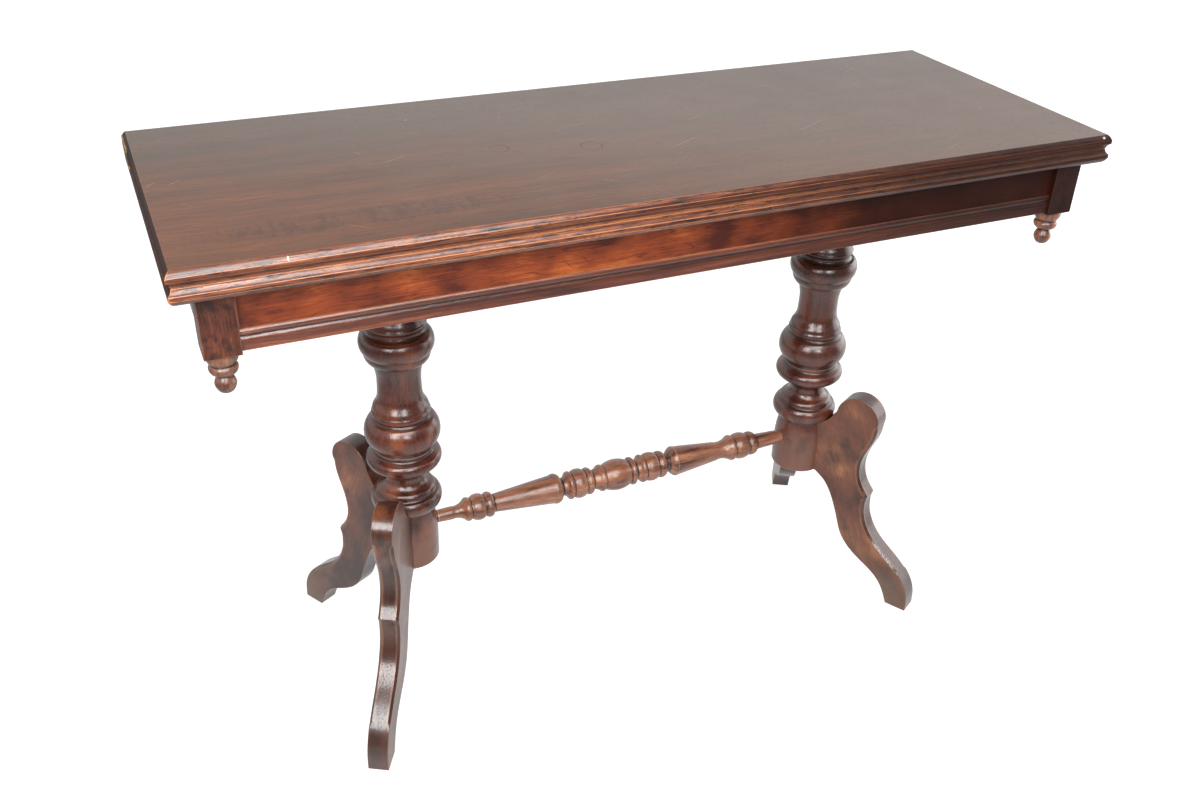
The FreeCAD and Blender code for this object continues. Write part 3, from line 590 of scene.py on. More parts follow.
# Grain coordinates in metres: the first runs along the fibres, and each piece has a shift of its own
def grainOf(points, along, seed):
    first = Vector(along).normalized()
    second = first.cross(Vector((0, 0, 1)) if abs(first.z) < 0.9 else Vector((0, 1, 0))).normalized()
    third = first.cross(second)
    turn = np.array([first, second, third])
    shift = np.random.default_rng(seed).uniform(-3, 3, 3) if seed else 0   # seed 0 keeps the piece's own place
    return points @ turn.T + shift


# Wear spreads over a few neighbours, and dirt with painted shade gathers in hollows this much softer than the worn
# arrises
handling = {"passes": 2, "hollowShare": 0.6}


# Last steps of every piece: shading, wear, grain, the body it rides with, and hiding the nodes that it stands for;
# the slot name picks its wood
def finishPiece(name, mesh, body, slotName, standsFor, along, seed, wearBend=420.0, smoothAngle=40,
                material=None, grain=None):
    if grain is None:   # a piece that brings its own grain is dressed already
        dress(mesh, material or woods[slotName])
        grain = grainOf(pointsOf(mesh), along, seed)
    mesh.polygons.foreach_set("use_smooth", np.ones(len(mesh.polygons), bool))
    mesh.set_sharp_from_angle(angle=math.radians(smoothAngle))
    storeAttribute(mesh, "grainPlace", "FLOAT_VECTOR", grain)
    bend = bendOf(mesh, handling["passes"])
    storeAttribute(mesh, "wear", "FLOAT", np.clip(bend / wearBend, 0, 1))
    storeAttribute(mesh, "grime", "FLOAT", np.clip(-bend / (handling["hollowShare"] * wearBend), 0, 1))
    mesh.name = name
    piece = bpy.data.objects.new(name, mesh)
    scene.collection.objects.link(piece)
    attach(piece, body)
    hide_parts(*standsFor)


# Small hand-made unevenness: every point moves inward along its normal by a slow and a quick noise
def uneven(mesh, slow, quick, seed, slowMm=110, quickMm=14):
    points = pointsOf(mesh)
    normals = valuesOf(mesh.vertex_normals, "vector", 3)
    shift = Vector((seed * 3.1, seed * 1.7, seed * 2.3))
    for i, point in enumerate(points):
        at = Vector(point)
        move = slow * noise.noise(at / (slowMm * mm) + shift) + quick * noise.noise(at / (quickMm * mm) + shift)
        points[i] = point + normals[i] * (move - slow - quick) * mm
    mesh.vertices.foreach_set("co", points.ravel())
    mesh.update()


# Box with rounded arrises and a station every few millimetres; stations close to an arris hold its wear there
boxes = {"bevelSteps": 3, "nearArris": (0, 1.2, 3.0), "smallSide": 12}


def roundedBox(name, spans, radius, step):
    steps = boxes["bevelSteps"]
    stations = []
    for low, high in spans:
        low, high = min(low, high), max(low, high)
        bevel = [radius * (1 - math.tan(math.pi / 4 * (1 - k / steps))) for k in range(steps + 1)]
        near = [radius + distance for distance in boxes["nearArris"]]
        if high - low < boxes["smallSide"]:
            inner = np.array([low + radius, high - radius])
        else:
            inner = np.linspace(low + near[-1], high - near[-1], max(1, int((high - low) / step)) + 1)
            inner = np.concatenate([[low + n for n in near[:-1]], inner, [high - n for n in reversed(near[:-1])]])
        stations.append(np.concatenate([
            [low + b for b in bevel[:-1]], inner, [high - b for b in reversed(bevel[:-1])]]))
    lows = np.array([s[0] for s in stations]) + radius
    highs = np.array([s[-1] for s in stations]) - radius
    points, faces = [], []
    for axis in range(3):
        u, v = (axis + 1) % 3, (axis + 2) % 3
        for side in (0, -1):
            grid = np.zeros((len(stations[u]), len(stations[v]), 3))
            grid[..., axis] = stations[axis][side]
            grid[..., u] = stations[u][:, None]
            grid[..., v] = stations[v][None, :]
            faces += gridFaces(grid.shape[0], grid.shape[1], len(points))
            points += list(grid.reshape(-1, 3))
    points = np.array(points)
    core = np.clip(points, lows, highs)
    out = points - core
    out /= np.maximum(np.linalg.norm(out, axis=1), 1e-9)[:, None]
    return mergedMesh(meshOf(name, (core + out * radius) * mm, faces))


# The two leaves: flat boards with a moulded edge on three sides, let in for hinges at the back
leaves = {
    "arris": (594.5, 212.25), "backY": 212.1, "meeting": 760.85, "gap": 0.15, "thickness": 19.0,
    "cornerRadius": 1.0, "soften": 0.38, "station": 6.0, "flatInset": 5.0,
    "edge": [   # rise from the meeting face, outward from the arris
        (0, -5), (0, 1.1), (4.0, 2.4, 6.8, 4.85), (7.2, 5.5), (12.5, 5.5), (13.3, 4.7), (16.5, 2.9, 19, 0),
        (19, -5)],
    "bedX": 596.65, "strap": (64.05, 13.1), "strapMiddle": 8.5, "knuckleRound": 6.1, "knuckleInset": 0.3,
    "overrun": (4, 9),   # how far the cutters stand out at the back and at the ends
    "uneven": (0.05, 0.07), "wearBend": 330.0,
}


def leafMesh(up):
    edge = thinned(softened(tracedLine(leaves["edge"]), leaves["soften"]), 0.012, 1.2)
    arrisX, arrisY = leaves["arris"]
    back = leaves["backY"]
    inset = leaves["flatInset"]
    alongX = max(2, int(2 * arrisX / leaves["station"]))
    alongY = max(2, int(2 * arrisY / leaves["station"]))
    grid = []
    for rise, out in edge:
        radius = leaves["cornerRadius"] * min(1, max(0, (out + inset) / inset))
        x, y = arrisX + out, -arrisY - out
        z = leaves["meeting"] + up * (leaves["gap"] + rise)
        side = np.linspace(back, y + radius, alongY + 1)
        row = [(-x, s, z) for s in side]
        turn = np.linspace(0, math.pi / 2, 5)[1:-1]
        row += [(-x + radius - radius * math.cos(a), y + radius - radius * math.sin(a), z) for a in turn]
        row += [(s, y, z) for s in np.linspace(-x + radius, x - radius, alongX + 1)]
        row += [(x - radius + radius * math.sin(a), y + radius - radius * math.cos(a), z) for a in turn]
        row += [(x, s, z) for s in side[::-1]]
        grid.append(row)
    columns = len(grid[0])
    points = [p for row in grid for p in row]
    faces = gridFaces(len(grid), columns)
    for row in (grid[0], grid[-1]):   # the flat faces inside the moulding
        xs = np.linspace(row[0][0], -row[0][0], alongX + 1)
        ys = [p[1] for p in row[:alongY + 1]]
        faces += gridFaces(len(ys), len(xs), len(points))
        points += [(x, y, row[0][2]) for y in ys for x in xs]
    count = len(grid)
    backLine = np.linspace(grid[0][0][0], -grid[0][0][0], alongX + 1)
    backHeights = np.linspace(grid[0][0][2], grid[-1][0][2], 4)
    faces += gridFaces(4, len(backLine), len(points))
    points += [(x, back, z) for z in backHeights for x in backLine]
    for column in (0, columns - 1):   # the moulding's section where it meets the back
        sign = -1 if column == 0 else 1
        inner = [(sign * abs(backLine[0]), back, z) for z in backHeights[::-1]]
        loop = [grid[j][column] for j in range(count)] + inner[1:-1]
        faces.append(tuple(range(len(points), len(points) + len(loop))))
        points += loop
    return mergedMesh(meshOf("leaf", np.array(points) * mm, faces), 2e-6)


# A flat strap with a round far end, standing out from x, used to cut the hinge beds
def hingeBed(side, up):
    length, height = leaves["strap"]
    half = height / 2
    middle = leaves["meeting"] + up * leaves["strapMiddle"]
    arrisX, arrisY = leaves["arris"]
    overY, overX = leaves["overrun"]
    far = arrisY - length + half
    turn = np.linspace(-math.pi / 2, math.pi / 2, 17)
    outline = [(far - half * math.cos(a), middle + half * math.sin(a)) for a in turn]
    outline += [(arrisY + overY, middle + half), (arrisY + overY, middle - half)]
    return prismMesh(outline, side * leaves["bedX"], side * (arrisX + overX))


def knuckleBed(side):
    turn = np.linspace(0, math.tau, 33)[:-1]
    radius = leaves["knuckleRound"]
    arrisX, arrisY = leaves["arris"]
    outline = [(arrisY + radius * math.cos(a), leaves["meeting"] + radius * math.sin(a)) for a in turn]
    near = leaves["bedX"] - leaves["knuckleInset"]
    return prismMesh(outline, side * near, side * (arrisX + leaves["overrun"][1]))


def prismMesh(outline, near, far):
    count = len(outline)
    points = [(near, y, z) for y, z in outline] + [(far, y, z) for y, z in outline]
    faces = [(i, (i + 1) % count, count + (i + 1) % count, count + i) for i in range(count)]
    faces += [tuple(range(count)), tuple(range(count, 2 * count))]
    return mergedMesh(meshOf("cutter", np.array(points) * mm, faces))


# The plain mesh after one modifier; a node tree's named inputs are set by their identifiers
def modified(mesh, kind, settings, inputs=None):
    holder = bpy.data.objects.new("being made", mesh)
    scene.collection.objects.link(holder)
    modifier = holder.modifiers.new(kind, kind)
    for key, value in settings.items():
        setattr(modifier, key, value)
    for item in settings["node_group"].interface.items_tree if inputs else ():
        if item.in_out == "INPUT" and item.name in inputs:
            modifier[item.identifier] = inputs[item.name]
    depsgraph = bpy.context.evaluated_depsgraph_get()
    result = bpy.data.meshes.new_from_object(holder.evaluated_get(depsgraph))
    bpy.data.objects.remove(holder)
    return result


def cutAway(mesh, cutterMeshes):
    for cutterMesh in cutterMeshes:
        cutter = bpy.data.objects.new("cutter", cutterMesh)
        scene.collection.objects.link(cutter)
        mesh = modified(mesh, "BOOLEAN", {"operation": "DIFFERENCE", "solver": "EXACT", "object": cutter})
        bpy.data.objects.remove(cutter)
    return mesh


for name, up, seed in (("upper", 1, 3), ("lower", -1, 4)):
    mesh = leafMesh(up)
    uneven(mesh, *leaves["uneven"], seed)
    mesh = cutAway(mesh, [hingeBed(side, up) for side in (-1, 1)] + [knuckleBed(side) for side in (-1, 1)])
    arrisX, arrisY = (value * mm for value in leaves["arris"])
    dress(mesh, woods["top_wood"], frontEdge, endEdge)
    for face in mesh.polygons:   # the board, and the moulding planted round it with mitred corners
        x, y, z = face.center
        face.material_index = 0
        if max(abs(x) - arrisX, -y - arrisY) > 0:
            face.material_index = 1 if -y - arrisY > abs(x) - arrisX else 2
    points = pointsOf(mesh)
    overEnd = np.abs(points[:, 0]) - arrisX
    overFront = -points[:, 1] - arrisY
    grain = grainOf(points, (1, 0, 0), 0)
    front = (overFront > 0) & (overFront >= overEnd)
    end = (overEnd > 0) & ~front
    grain[front] = grainOf(points, (1, 0, 0), seed)[front]
    grain[end] = grainOf(points, (0, 1, 0), seed + 5)[end]
    finishPiece(f"leaf-{name}", mesh, f"{name}_leaf", "top_wood", [f"{name}_leaf"], (1, 0, 0), seed,
                leaves["wearBend"], grain=grain)
print("leaves made")


# The frame: rails between corner blocks, with a moulding along each foot
rails = {
    "faceX": 569.0, "faceY": 194.0, "innerX": 547.0, "innerY": 172.0, "blockX": 535.0, "blockY": 160.0,
    "frameX": 575.0, "frameY": 200.0, "foot": 671.0, "top": 741.4, "blockFoot": 668.0, "stripTop": 696.0,
    "veneer": 1.0, "glue": 0.1, "soften": 0.32, "arris": 0.6, "veneerArris": 0.25, "station": 16,
    "stripStation": 8, "stripUneven": (0.05, 0.05), "stripWearBend": 360.0,
    "blockArris": 1.3, "blockStation": 5, "blockUneven": (0.1, 0.12), "blockWearBend": 300.0,
    "strip": [   # rise from the foot, outward from the rail's face
        (0, -4), (0, 2.0), (10.0, 2.0), (13.75, 1.45, 15.75, 0.26), (17.0, 0.22), (21.0, 2.2, 25.0, 0.22),
        (25.0, -4)],
}


def stripMesh(half, place):
    section = thinned(softened(tracedLine(rails["strip"]), rails["soften"]), 0.012, 2.0)
    stations = np.linspace(-half, half, int(2 * half / rails["stripStation"]) + 1)
    points = [place(s, rails["foot"] + rise, out) for rise, out in section for s in stations]
    faces = gridFaces(len(section), len(stations), 0, True)
    count = len(stations)
    faces.append(tuple(range(0, len(points), count)))
    faces.append(tuple(range(count - 1, len(points), count)))
    return mergedMesh(meshOf("strip", np.array(points) * mm, faces))


def railPiece(name, spans, grainAxis, seed):
    mesh = roundedBox("rail", spans, rails["arris"], rails["station"])
    finishPiece(f"rail-{name}", mesh, "frame", "rail_wood", [f"{name}_rail"], grainAxis, seed)


def stripPiece(name, half, place, grainAxis, seed, unevenSeed):
    mesh = stripMesh(half, place)
    uneven(mesh, *rails["stripUneven"], unevenSeed)
    finishPiece(f"moulding-{name}", mesh, "frame", "moulding_wood", [f"{name}_rail_moulding"], grainAxis, seed,
                rails["stripWearBend"])


heights = (rails["foot"], rails["top"])
for number, (word, end) in enumerate(ends):
    outer = rails["faceY"] - (rails["veneer"] if end < 0 else 0)
    spans = [(-rails["blockX"], rails["blockX"]), (end * rails["innerY"], end * outer), heights]
    railPiece(word, spans, (1, 0, 0), 20 + number)
    stripPiece(word, rails["blockX"], lambda s, z, out: (s, end * (rails["faceY"] + out), z), (1, 0, 0),
               22 + number, 5 + number)
for number, (word, side) in enumerate(sides):
    spans = [(side * rails["innerX"], side * rails["faceX"]), (-rails["blockY"], rails["blockY"]), heights]
    railPiece(word, spans, (0, 1, 0), 24 + number)
    stripPiece(word, rails["blockY"], lambda s, z, out: (side * (rails["faceX"] + out), s, z), (0, 1, 0),
               26 + number, 7 + number)

spans = [(-rails["blockX"], rails["blockX"]), (-rails["faceY"], -rails["faceY"] + rails["veneer"] + rails["glue"]),
         (rails["stripTop"], rails["top"])]
finishPiece("veneer-front", roundedBox("veneer", spans, rails["veneerArris"], rails["station"]), "frame", "veneer",
            ["front_veneer"], (1, 0, 0), 0)

for number, word, endWord, side, end in corners:
    spans = [(side * rails["blockX"], side * rails["frameX"]),
             (end * rails["blockY"], end * rails["frameY"]), (rails["blockFoot"], rails["top"])]
    mesh = roundedBox("block", spans, rails["blockArris"], rails["blockStation"])
    uneven(mesh, *rails["blockUneven"], 11 + number)
    finishPiece(f"block-{word}-{endWord}", mesh, "frame", "block_wood", [f"{word}_{endWord}_corner_block"],
                (0, 0, 1), 32 + number, rails["blockWearBend"])
print("frame rails, mouldings and blocks made")


# A tree that takes a mesh, named inputs and a material; the second function ends it
def newTree(name, inputs):
    tree = bpy.data.node_groups.new(name, "GeometryNodeTree")
    for label, kind in {"Geometry": "Geometry", **inputs, "Material": "Material"}.items():
        tree.interface.new_socket(label, in_out="INPUT", socket_type="NodeSocket" + kind)
    tree.interface.new_socket("Geometry", in_out="OUTPUT", socket_type="NodeSocketGeometry")
    add = partial(addNode, tree)
    return tree, add, add("NodeGroupInput").outputs


def endTree(add, given, made):
    real = add("GeometryNodeRealizeInstances", None, {"Geometry": made})
    dressed = add("GeometryNodeSetMaterial", None, {"Geometry": real, "Material": given["Material"]})
    add("NodeGroupOutput", None, {"Geometry": dressed})


# Lathe work. The tree takes a row of points on an axis, each with a girth, and turns it in the round
lathe = {"waves": 45, "mergeWithin": 0.002, "smoothAngle": 50, "tolerance": 0.02, "longest": 4.0}


def turningTree():
    tree, add, given = newTree("turned on a lathe", {"Facets": "Int", "Unevenness": "Float", "Seed": "Float"})
    girth = add("GeometryNodeInputNamedAttribute", {"data_type": "FLOAT"}, {"Name": "girth"})
    axis = add("GeometryNodeMeshToCurve", None, {"Mesh": given["Geometry"]})
    sized = add("GeometryNodeSetCurveRadius", None, {"Curve": axis, "Radius": girth})
    ring = add("GeometryNodeCurvePrimitiveCircle", {"mode": "RADIUS"}, {"Resolution": given["Facets"], "Radius": 1.0})
    turned = add("GeometryNodeCurveToMesh", None, {"Curve": sized, "Profile Curve": ring, "Fill Caps": True})
    if "Scale" in turned.inputs:   # the girth goes here too where the node has this input
        tree.links.new(girth.outputs[0], turned.inputs["Scale"])
    waves = add("TexNoise", {"noise_dimensions": "4D"}, {
        "Vector": add("GeometryNodeInputPosition"), "W": given["Seed"],
        "Scale": 1000 / lathe["waves"], "Detail": 2.0})
    depth = add("Math", times, (waves, given["Unevenness"]))
    inward = add("VectorMath", {"operation": "SCALE"}, {0: add("GeometryNodeInputNormal"), "Scale": depth})
    moved = add("GeometryNodeSetPosition", None, {"Geometry": turned, "Offset": inward})
    merged = add("GeometryNodeMergeByDistance", None, {"Geometry": moved, "Distance": lathe["mergeWithin"] * mm})
    endTree(add, given, merged)
    return tree


latheTree = turningTree()


def turnedMesh(section, foot, axis, facets, unevenness, seed, material):
    direction = Vector(axis)
    points = [Vector(foot) + direction * along for along, radius in section]
    mesh = bpy.data.meshes.new("turning line")
    mesh.from_pydata([p * mm for p in points], [(i, i + 1) for i in range(len(points) - 1)], [])
    storeAttribute(mesh, "girth", "FLOAT", np.array([radius for along, radius in section]) * mm)
    return mergedMesh(modified(mesh, "NODES", {"node_group": latheTree}, {
        "Facets": facets, "Unevenness": -unevenness * mm, "Seed": float(seed), "Material": material}))


def sharesToRows(shares, start, length, reach):
    return [[value * (reach if i % 2 else length) + (0 if i % 2 else start) for i, value in enumerate(row)]
            for row in shares]


columns = {
    "spacing": 324.6, "radius": 51.2, "foot": 195.0, "shaftFoot": 286.9, "head": 674.3,
    "facets": 112, "soften": 0.34, "uneven": 0.35, "wearBend": 330.0,
    "base": [
        (0, 0.773), (0.016, 0.801), (0.467, 0.805), (0.728, 0.773, 0.924, 0.707),
        (0.957, 0.711, 0.995, 0.811), (1, 0.840)],
    "shaft": [
        (0, 0.850), (0.030, 0.957, 0.058, 0.879), (0.061, 0.816), (0.065, 0.785),
        (0.079, 0.766, 0.088, 0.695), (0.101, 0.559, 0.119, 0.508), (0.150, 0.576, 0.171, 0.791),
        (0.176, 0.889), (0.202, 1, 0.223, 0.925), (0.230, 0.820), (0.234, 0.790), (0.248, 0.800),
        (0.251, 0.765), (0.311, 1, 0.363, 0.850), (0.367, 0.790), (0.374, 0.742), (0.379, 0.765),
        (0.391, 0.776, 0.399, 0.752), (0.402, 0.741),
        (0.412, 0.728, 0.427, 0.668, 0.446, 0.606, 0.480, 0.578, 0.540, 0.585, 0.578, 0.645),
        (0.587, 0.655), (0.591, 0.755), (0.606, 0.835, 0.624, 0.860), (0.628, 0.880),
        (0.660, 0.962, 0.690, 0.900), (0.697, 0.850), (0.699, 0.770), (0.706, 0.725),
        (0.716, 0.722, 0.726, 0.765), (0.732, 0.792, 0.737, 0.772), (0.740, 0.762),
        (0.752, 0.738, 0.765, 0.690), (0.787, 0.635),
        (0.827, 0.518, 0.873, 0.605), (0.899, 0.723, 0.911, 0.879), (0.929, 0.957, 0.947, 0.889),
        (0.951, 0.850), (0.955, 0.898), (1, 0.898)],
}


def sectionOf(rows, soften):
    return thinned(softened(tracedLine(rows), soften), lathe["tolerance"], lathe["longest"])


# A turned piece from its section, standing on a foot along one axis
def turnedPiece(name, section, foot, axis, look, turnSeed, slotName, standsFor, seed):
    mesh = turnedMesh(section, foot, axis, look["facets"], look["uneven"], turnSeed, woods[slotName])
    finishPiece(name, mesh, "frame", slotName, [standsFor], axis, seed, look["wearBend"], lathe["smoothAngle"])


shaftFoot, reach = columns["shaftFoot"], columns["radius"]
rows = sharesToRows(columns["base"], columns["foot"], shaftFoot - columns["foot"], reach)
rows += sharesToRows(columns["shaft"], shaftFoot, columns["head"] - shaftFoot, reach)
section = sectionOf(rows, columns["soften"])
for number, (word, side) in enumerate(sides):
    turnedPiece(f"column-{word}", section, (side * columns["spacing"], 0, 0), (0, 0, 1), columns, number + 1,
                "column_wood", f"{word}_column", 40 + number)
print("columns turned,", len(section), "rows")


stretcher = {
    "half": 283.4, "height": 247.0, "radius": 23.8, "tenon": 8.0, "tenonLength": 6, "facets": 72,
    "soften": 0.24, "uneven": 0.08, "wearBend": 430.0,
    "section": [
        (0, 0.378), (0.038, 0.403), (0.061, 0.462, 0.074, 0.697), (0.080, 0.739, 0.086, 0.689),
        (0.088, 0.647), (0.091, 0.681), (0.108, 0.824, 0.123, 0.714), (0.125, 0.664), (0.127, 0.689),
        (0.137, 0.790, 0.146, 0.681), (0.149, 0.563), (0.310, 0.899), (0.322, 0.950, 0.332, 0.819),
        (0.337, 0.580), (0.341, 0.571), (0.348, 0.639, 0.354, 0.815), (0.360, 0.899, 0.366, 0.824),
        (0.368, 0.765), (0.369, 0.807), (0.386, 0.941, 0.402, 0.824), (0.404, 0.765), (0.406, 0.790),
        (0.414, 0.874, 0.422, 0.773), (0.425, 0.622), (0.429, 0.622), (0.437, 0.681, 0.444, 0.790),
        (0.451, 0.866, 0.457, 0.815), (0.459, 0.765), (0.460, 0.790), (0.496, 1, 0.530, 0.790),
        (0.531, 0.765), (0.533, 0.807), (0.539, 0.908, 0.546, 0.807), (0.549, 0.647), (0.553, 0.647),
        (0.559, 0.714, 0.564, 0.840), (0.570, 0.908, 0.575, 0.840), (0.577, 0.773), (0.578, 0.815),
        (0.596, 0.933, 0.613, 0.815), (0.615, 0.773), (0.616, 0.798), (0.626, 0.878, 0.636, 0.756),
        (0.639, 0.588), (0.648, 0.588), (0.654, 0.773, 0.662, 0.933), (0.666, 0.975), (0.670, 0.950),
        (0.791, 0.630), (0.816, 0.597, 0.836, 0.782), (0.843, 0.849, 0.850, 0.782), (0.852, 0.714),
        (0.854, 0.765), (0.873, 0.878, 0.892, 0.756), (0.894, 0.706), (0.896, 0.731),
        (0.907, 0.790, 0.917, 0.697), (0.920, 0.530), (1, 0.440)],
}
half, tenon = stretcher["half"], stretcher["tenon"]
tip = half + stretcher["tenonLength"]
rows = sharesToRows(stretcher["section"], -half, 2 * half, stretcher["radius"])
rows = [[-tip, tenon], [-half, tenon]] + rows + [[tip, rows[-1][1]]]
section = sectionOf(rows, stretcher["soften"])
turnedPiece("stretcher-turned", section, (0, 0, stretcher["height"]), (1, 0, 0), stretcher, 5,
            "turned_light_wood", "stretcher", 45)
print("stretcher turned,", len(section), "rows")


finials = {
    "place": (555.0, 180.0), "top": 668.0, "height": 50.8, "radius": 17.6, "facets": 64, "soften": 0.28,
    "uneven": 0.2, "wearBend": 480.0,
    "section": [
        (0, 0.02), (0.018, 0.28, 0.069, 0.479), (0.150, 0.612, 0.234, 0.676), (0.360, 0.568, 0.425, 0.443),
        (0.452, 0.497), (0.478, 0.690, 0.515, 0.810, 0.580, 0.893, 0.645, 0.893, 0.698, 0.790),
        (0.705, 0.745), (0.800, 0.935, 1, 1), (1.05, 0.9)],
}
rows = sharesToRows(finials["section"], finials["top"] - finials["height"], finials["height"], finials["radius"])
section = sectionOf(rows, finials["soften"])
x, y = finials["place"]
for number, word, endWord, side, end in corners:
    turnedPiece(f"finial-{word}-{endWord}", section, (side * x, end * y, 0), (0, 0, 1), finials, 7 + number,
                "turned_light_wood", f"{word}_{endWord}_finial", 50 + number)
print("finials turned")


# Legs: one sawn outline, chamfered on its outer face between the scroll and the shin
legs = {
    "inner": 41.2, "reach": 188.3, "height": 349.5, "thickness": 29.0, "heading": 60.2,
    "chamfer": 3.5, "round": 1.0, "step": 2.4, "soften": 0.9, "tolerance": 0.02,
    "chamferFrom": (133.0, 314.0), "chamferTo": (216.0, 64.0), "chamferRuns": (7, 10),
    "arrisMargin": 1.6, "midRows": (-6.0, 0.0, 6.0),   # stations over the thickness
    "lattice": 6.0, "clear": 2.6, "ringInset": 1.1, "ringClear": 0.95,   # points inside the sawn sides
    "uneven": (0.12, 0.10), "lean": 0.42, "wearBend": 330.0, "sideShare": 0.8,
    "root": [(-0.059, 0.804), (0.020, 0.833, 0.073, 0.867, 0.113, 0.907), (0.296, 1, 0.481, 0.910)],
    "face": [
        (0.469, 0.830, 0.408, 0.735, 0.384, 0.661, 0.416, 0.584, 0.494, 0.526), (0.480, 0.492),
        (0.488, 0.429, 0.530, 0.368, 0.615, 0.306, 0.742, 0.250, 0.870, 0.192, 0.944, 0.140,
         0.987, 0.086, 1, 0.017), (1, 0)],
    "arch": [
        (0.817, 0),
        (0.796, 0.029, 0.758, 0.072, 0.673, 0.126, 0.535, 0.172, 0.397, 0.222, 0.312, 0.278,
         0.259, 0.349, 0.206, 0.423, 0.148, 0.486, 0.084, 0.529, 0, 0.560), (-0.059, 0.564), (-0.059, 0.804)],
}


# Triangles inside a closed line, through a lattice of points that keeps off the line itself
def filledSide(line):
    columnsX, rowsZ = (np.arange(line[:, k].min(), line[:, k].max(), legs["lattice"]) for k in (0, 1))
    lattice = np.array([(x, z) for x in columnsX for z in rowsZ])
    after = np.roll(line, -1, axis=0)
    crossings = np.zeros(len(lattice), int)
    for (ax, az), (bx, bz) in zip(line, after):
        if az != bz:
            spans = (az > lattice[:, 1]) != (bz > lattice[:, 1])
            crossings += spans & (lattice[:, 0] < ax + (lattice[:, 1] - az) * (bx - ax) / (bz - az))
    gaps = np.min(np.linalg.norm(lattice[:, None, :] - line[None, :, :], axis=2), axis=1)
    inside = lattice[(crossings % 2 == 1) & (gaps > legs["clear"])]
    ahead = after - np.roll(line, 1, axis=0)
    ahead /= np.linalg.norm(ahead, axis=1)[:, None]
    ring = (line + legs["ringInset"] * np.stack([ahead[:, 1], -ahead[:, 0]], axis=1))[::2]   # holds the wear there
    gaps = np.min(np.linalg.norm(ring[:, None, :] - line[None, :, :], axis=2), axis=1)
    inside = np.concatenate([ring[gaps > legs["ringClear"]], inside])
    flat = [Vector(p) for p in np.concatenate([line, inside])]
    result = geometry.delaunay_2d_cdt(flat, [], [list(range(len(line)))], 1, 1e-5)
    return np.array([list(p) for p in result[0]]), result[2]


def legMesh():
    shares = legs["root"] + legs["face"] + legs["arch"]
    fine = softened(tracedLine(sharesToRows(shares, legs["inner"], legs["reach"], legs["height"])), legs["soften"],
                    closed=True)
    fine = np.concatenate([fine, fine[:1]])
    outline = thinned(fine, legs["tolerance"], legs["step"])[:-1]
    count = len(outline)
    ahead = np.roll(outline, -1, axis=0) - np.roll(outline, 1, axis=0)
    ahead /= np.linalg.norm(ahead, axis=1)[:, None]
    inward = np.stack([ahead[:, 1], -ahead[:, 0]], axis=1)   # the outline runs clockwise

    lengths = np.concatenate([[0], np.cumsum(np.linalg.norm(np.diff(outline, axis=0), axis=1))])
    start = lengths[np.linalg.norm(outline - legs["chamferFrom"], axis=1).argmin()]
    stop = lengths[np.linalg.norm(outline - legs["chamferTo"], axis=1).argmin()]
    runIn, runOut = legs["chamferRuns"]
    share = np.clip((lengths - start) / runIn, 0, 1) * np.clip((stop - lengths) / runOut, 0, 1)
    share = share * share * (3 - 2 * share)

    half = legs["thickness"] / 2
    depth = legs["round"] + (legs["chamfer"] - legs["round"]) * share
    turns = np.linspace(0, math.pi / 2, 7)
    flats = np.array([0, 0.05, 0.2, 0.5, 0.8, 0.95, 1])
    # rows over the arris: how far in along y, and how far in from the outline
    corner = [(depth + legs["arrisMargin"], np.zeros(count))]
    for angle, flat in zip(turns, flats):
        across = (1 - share) * (1 - math.sin(angle)) + share * (1 - flat)
        inset = (1 - share) * (1 - math.cos(angle)) + share * flat
        corner.append((depth * across, depth * inset))

    grid = [np.column_stack([outline + inward * inset[:, None], -half + y]) for y, inset in reversed(corner)]
    grid += [np.column_stack([outline, np.full(count, y)]) for y in legs["midRows"]]
    grid += [np.column_stack([outline + inward * inset[:, None], half - y]) for y, inset in corner]
    points = np.concatenate(grid)
    faces = []
    for i in range(len(grid) - 1):
        for j in range(count):
            a, b = i * count + j, i * count + (j + 1) % count
            faces.append((a, b, b + count, a + count))
    points = points[:, [0, 2, 1]]
    for row in (points[:count], points[-count:]):   # the flat sawn sides, with points of their own
        sideRow, triangles = filledSide(row[:, [0, 2]])
        faces += [tuple(len(points) + i for i in triangle) for triangle in triangles]
        points = np.concatenate([points, np.column_stack([
            sideRow[:, 0], np.full(len(sideRow), row[0, 1]), sideRow[:, 1]])])
    return mergedMesh(meshOf("leg", points * mm, faces), 5e-6)


angle = math.radians(legs["heading"])
up = Vector((0, 0, 1))
for number, word, endWord, side, end in corners:
    mesh = legMesh()
    direction = Vector((side * math.cos(angle), end * math.sin(angle), 0))
    across = up.cross(direction)
    turn = Matrix((direction, across, up)).transposed().to_4x4()
    mesh.transform(Matrix.Translation((side * columns["spacing"] * mm, 0, 0)) @ turn)
    uneven(mesh, *legs["uneven"], 17 + number)
    dress(mesh, woods["leg_wood"], legEdge)
    for face in mesh.polygons:
        face.material_index = 0 if abs(face.normal.dot(across)) > legs["sideShare"] else 1
    fibres = direction * legs["lean"] - up
    finishPiece(f"leg-{word}-{endWord}", mesh, "frame", "leg_wood", [f"{word}_{endWord}_leg"], fibres, 60 + number,
                legs["wearBend"], grain=grainOf(pointsOf(mesh), fibres, 60 + number))
print("legs made,", len(mesh.vertices), "points each")


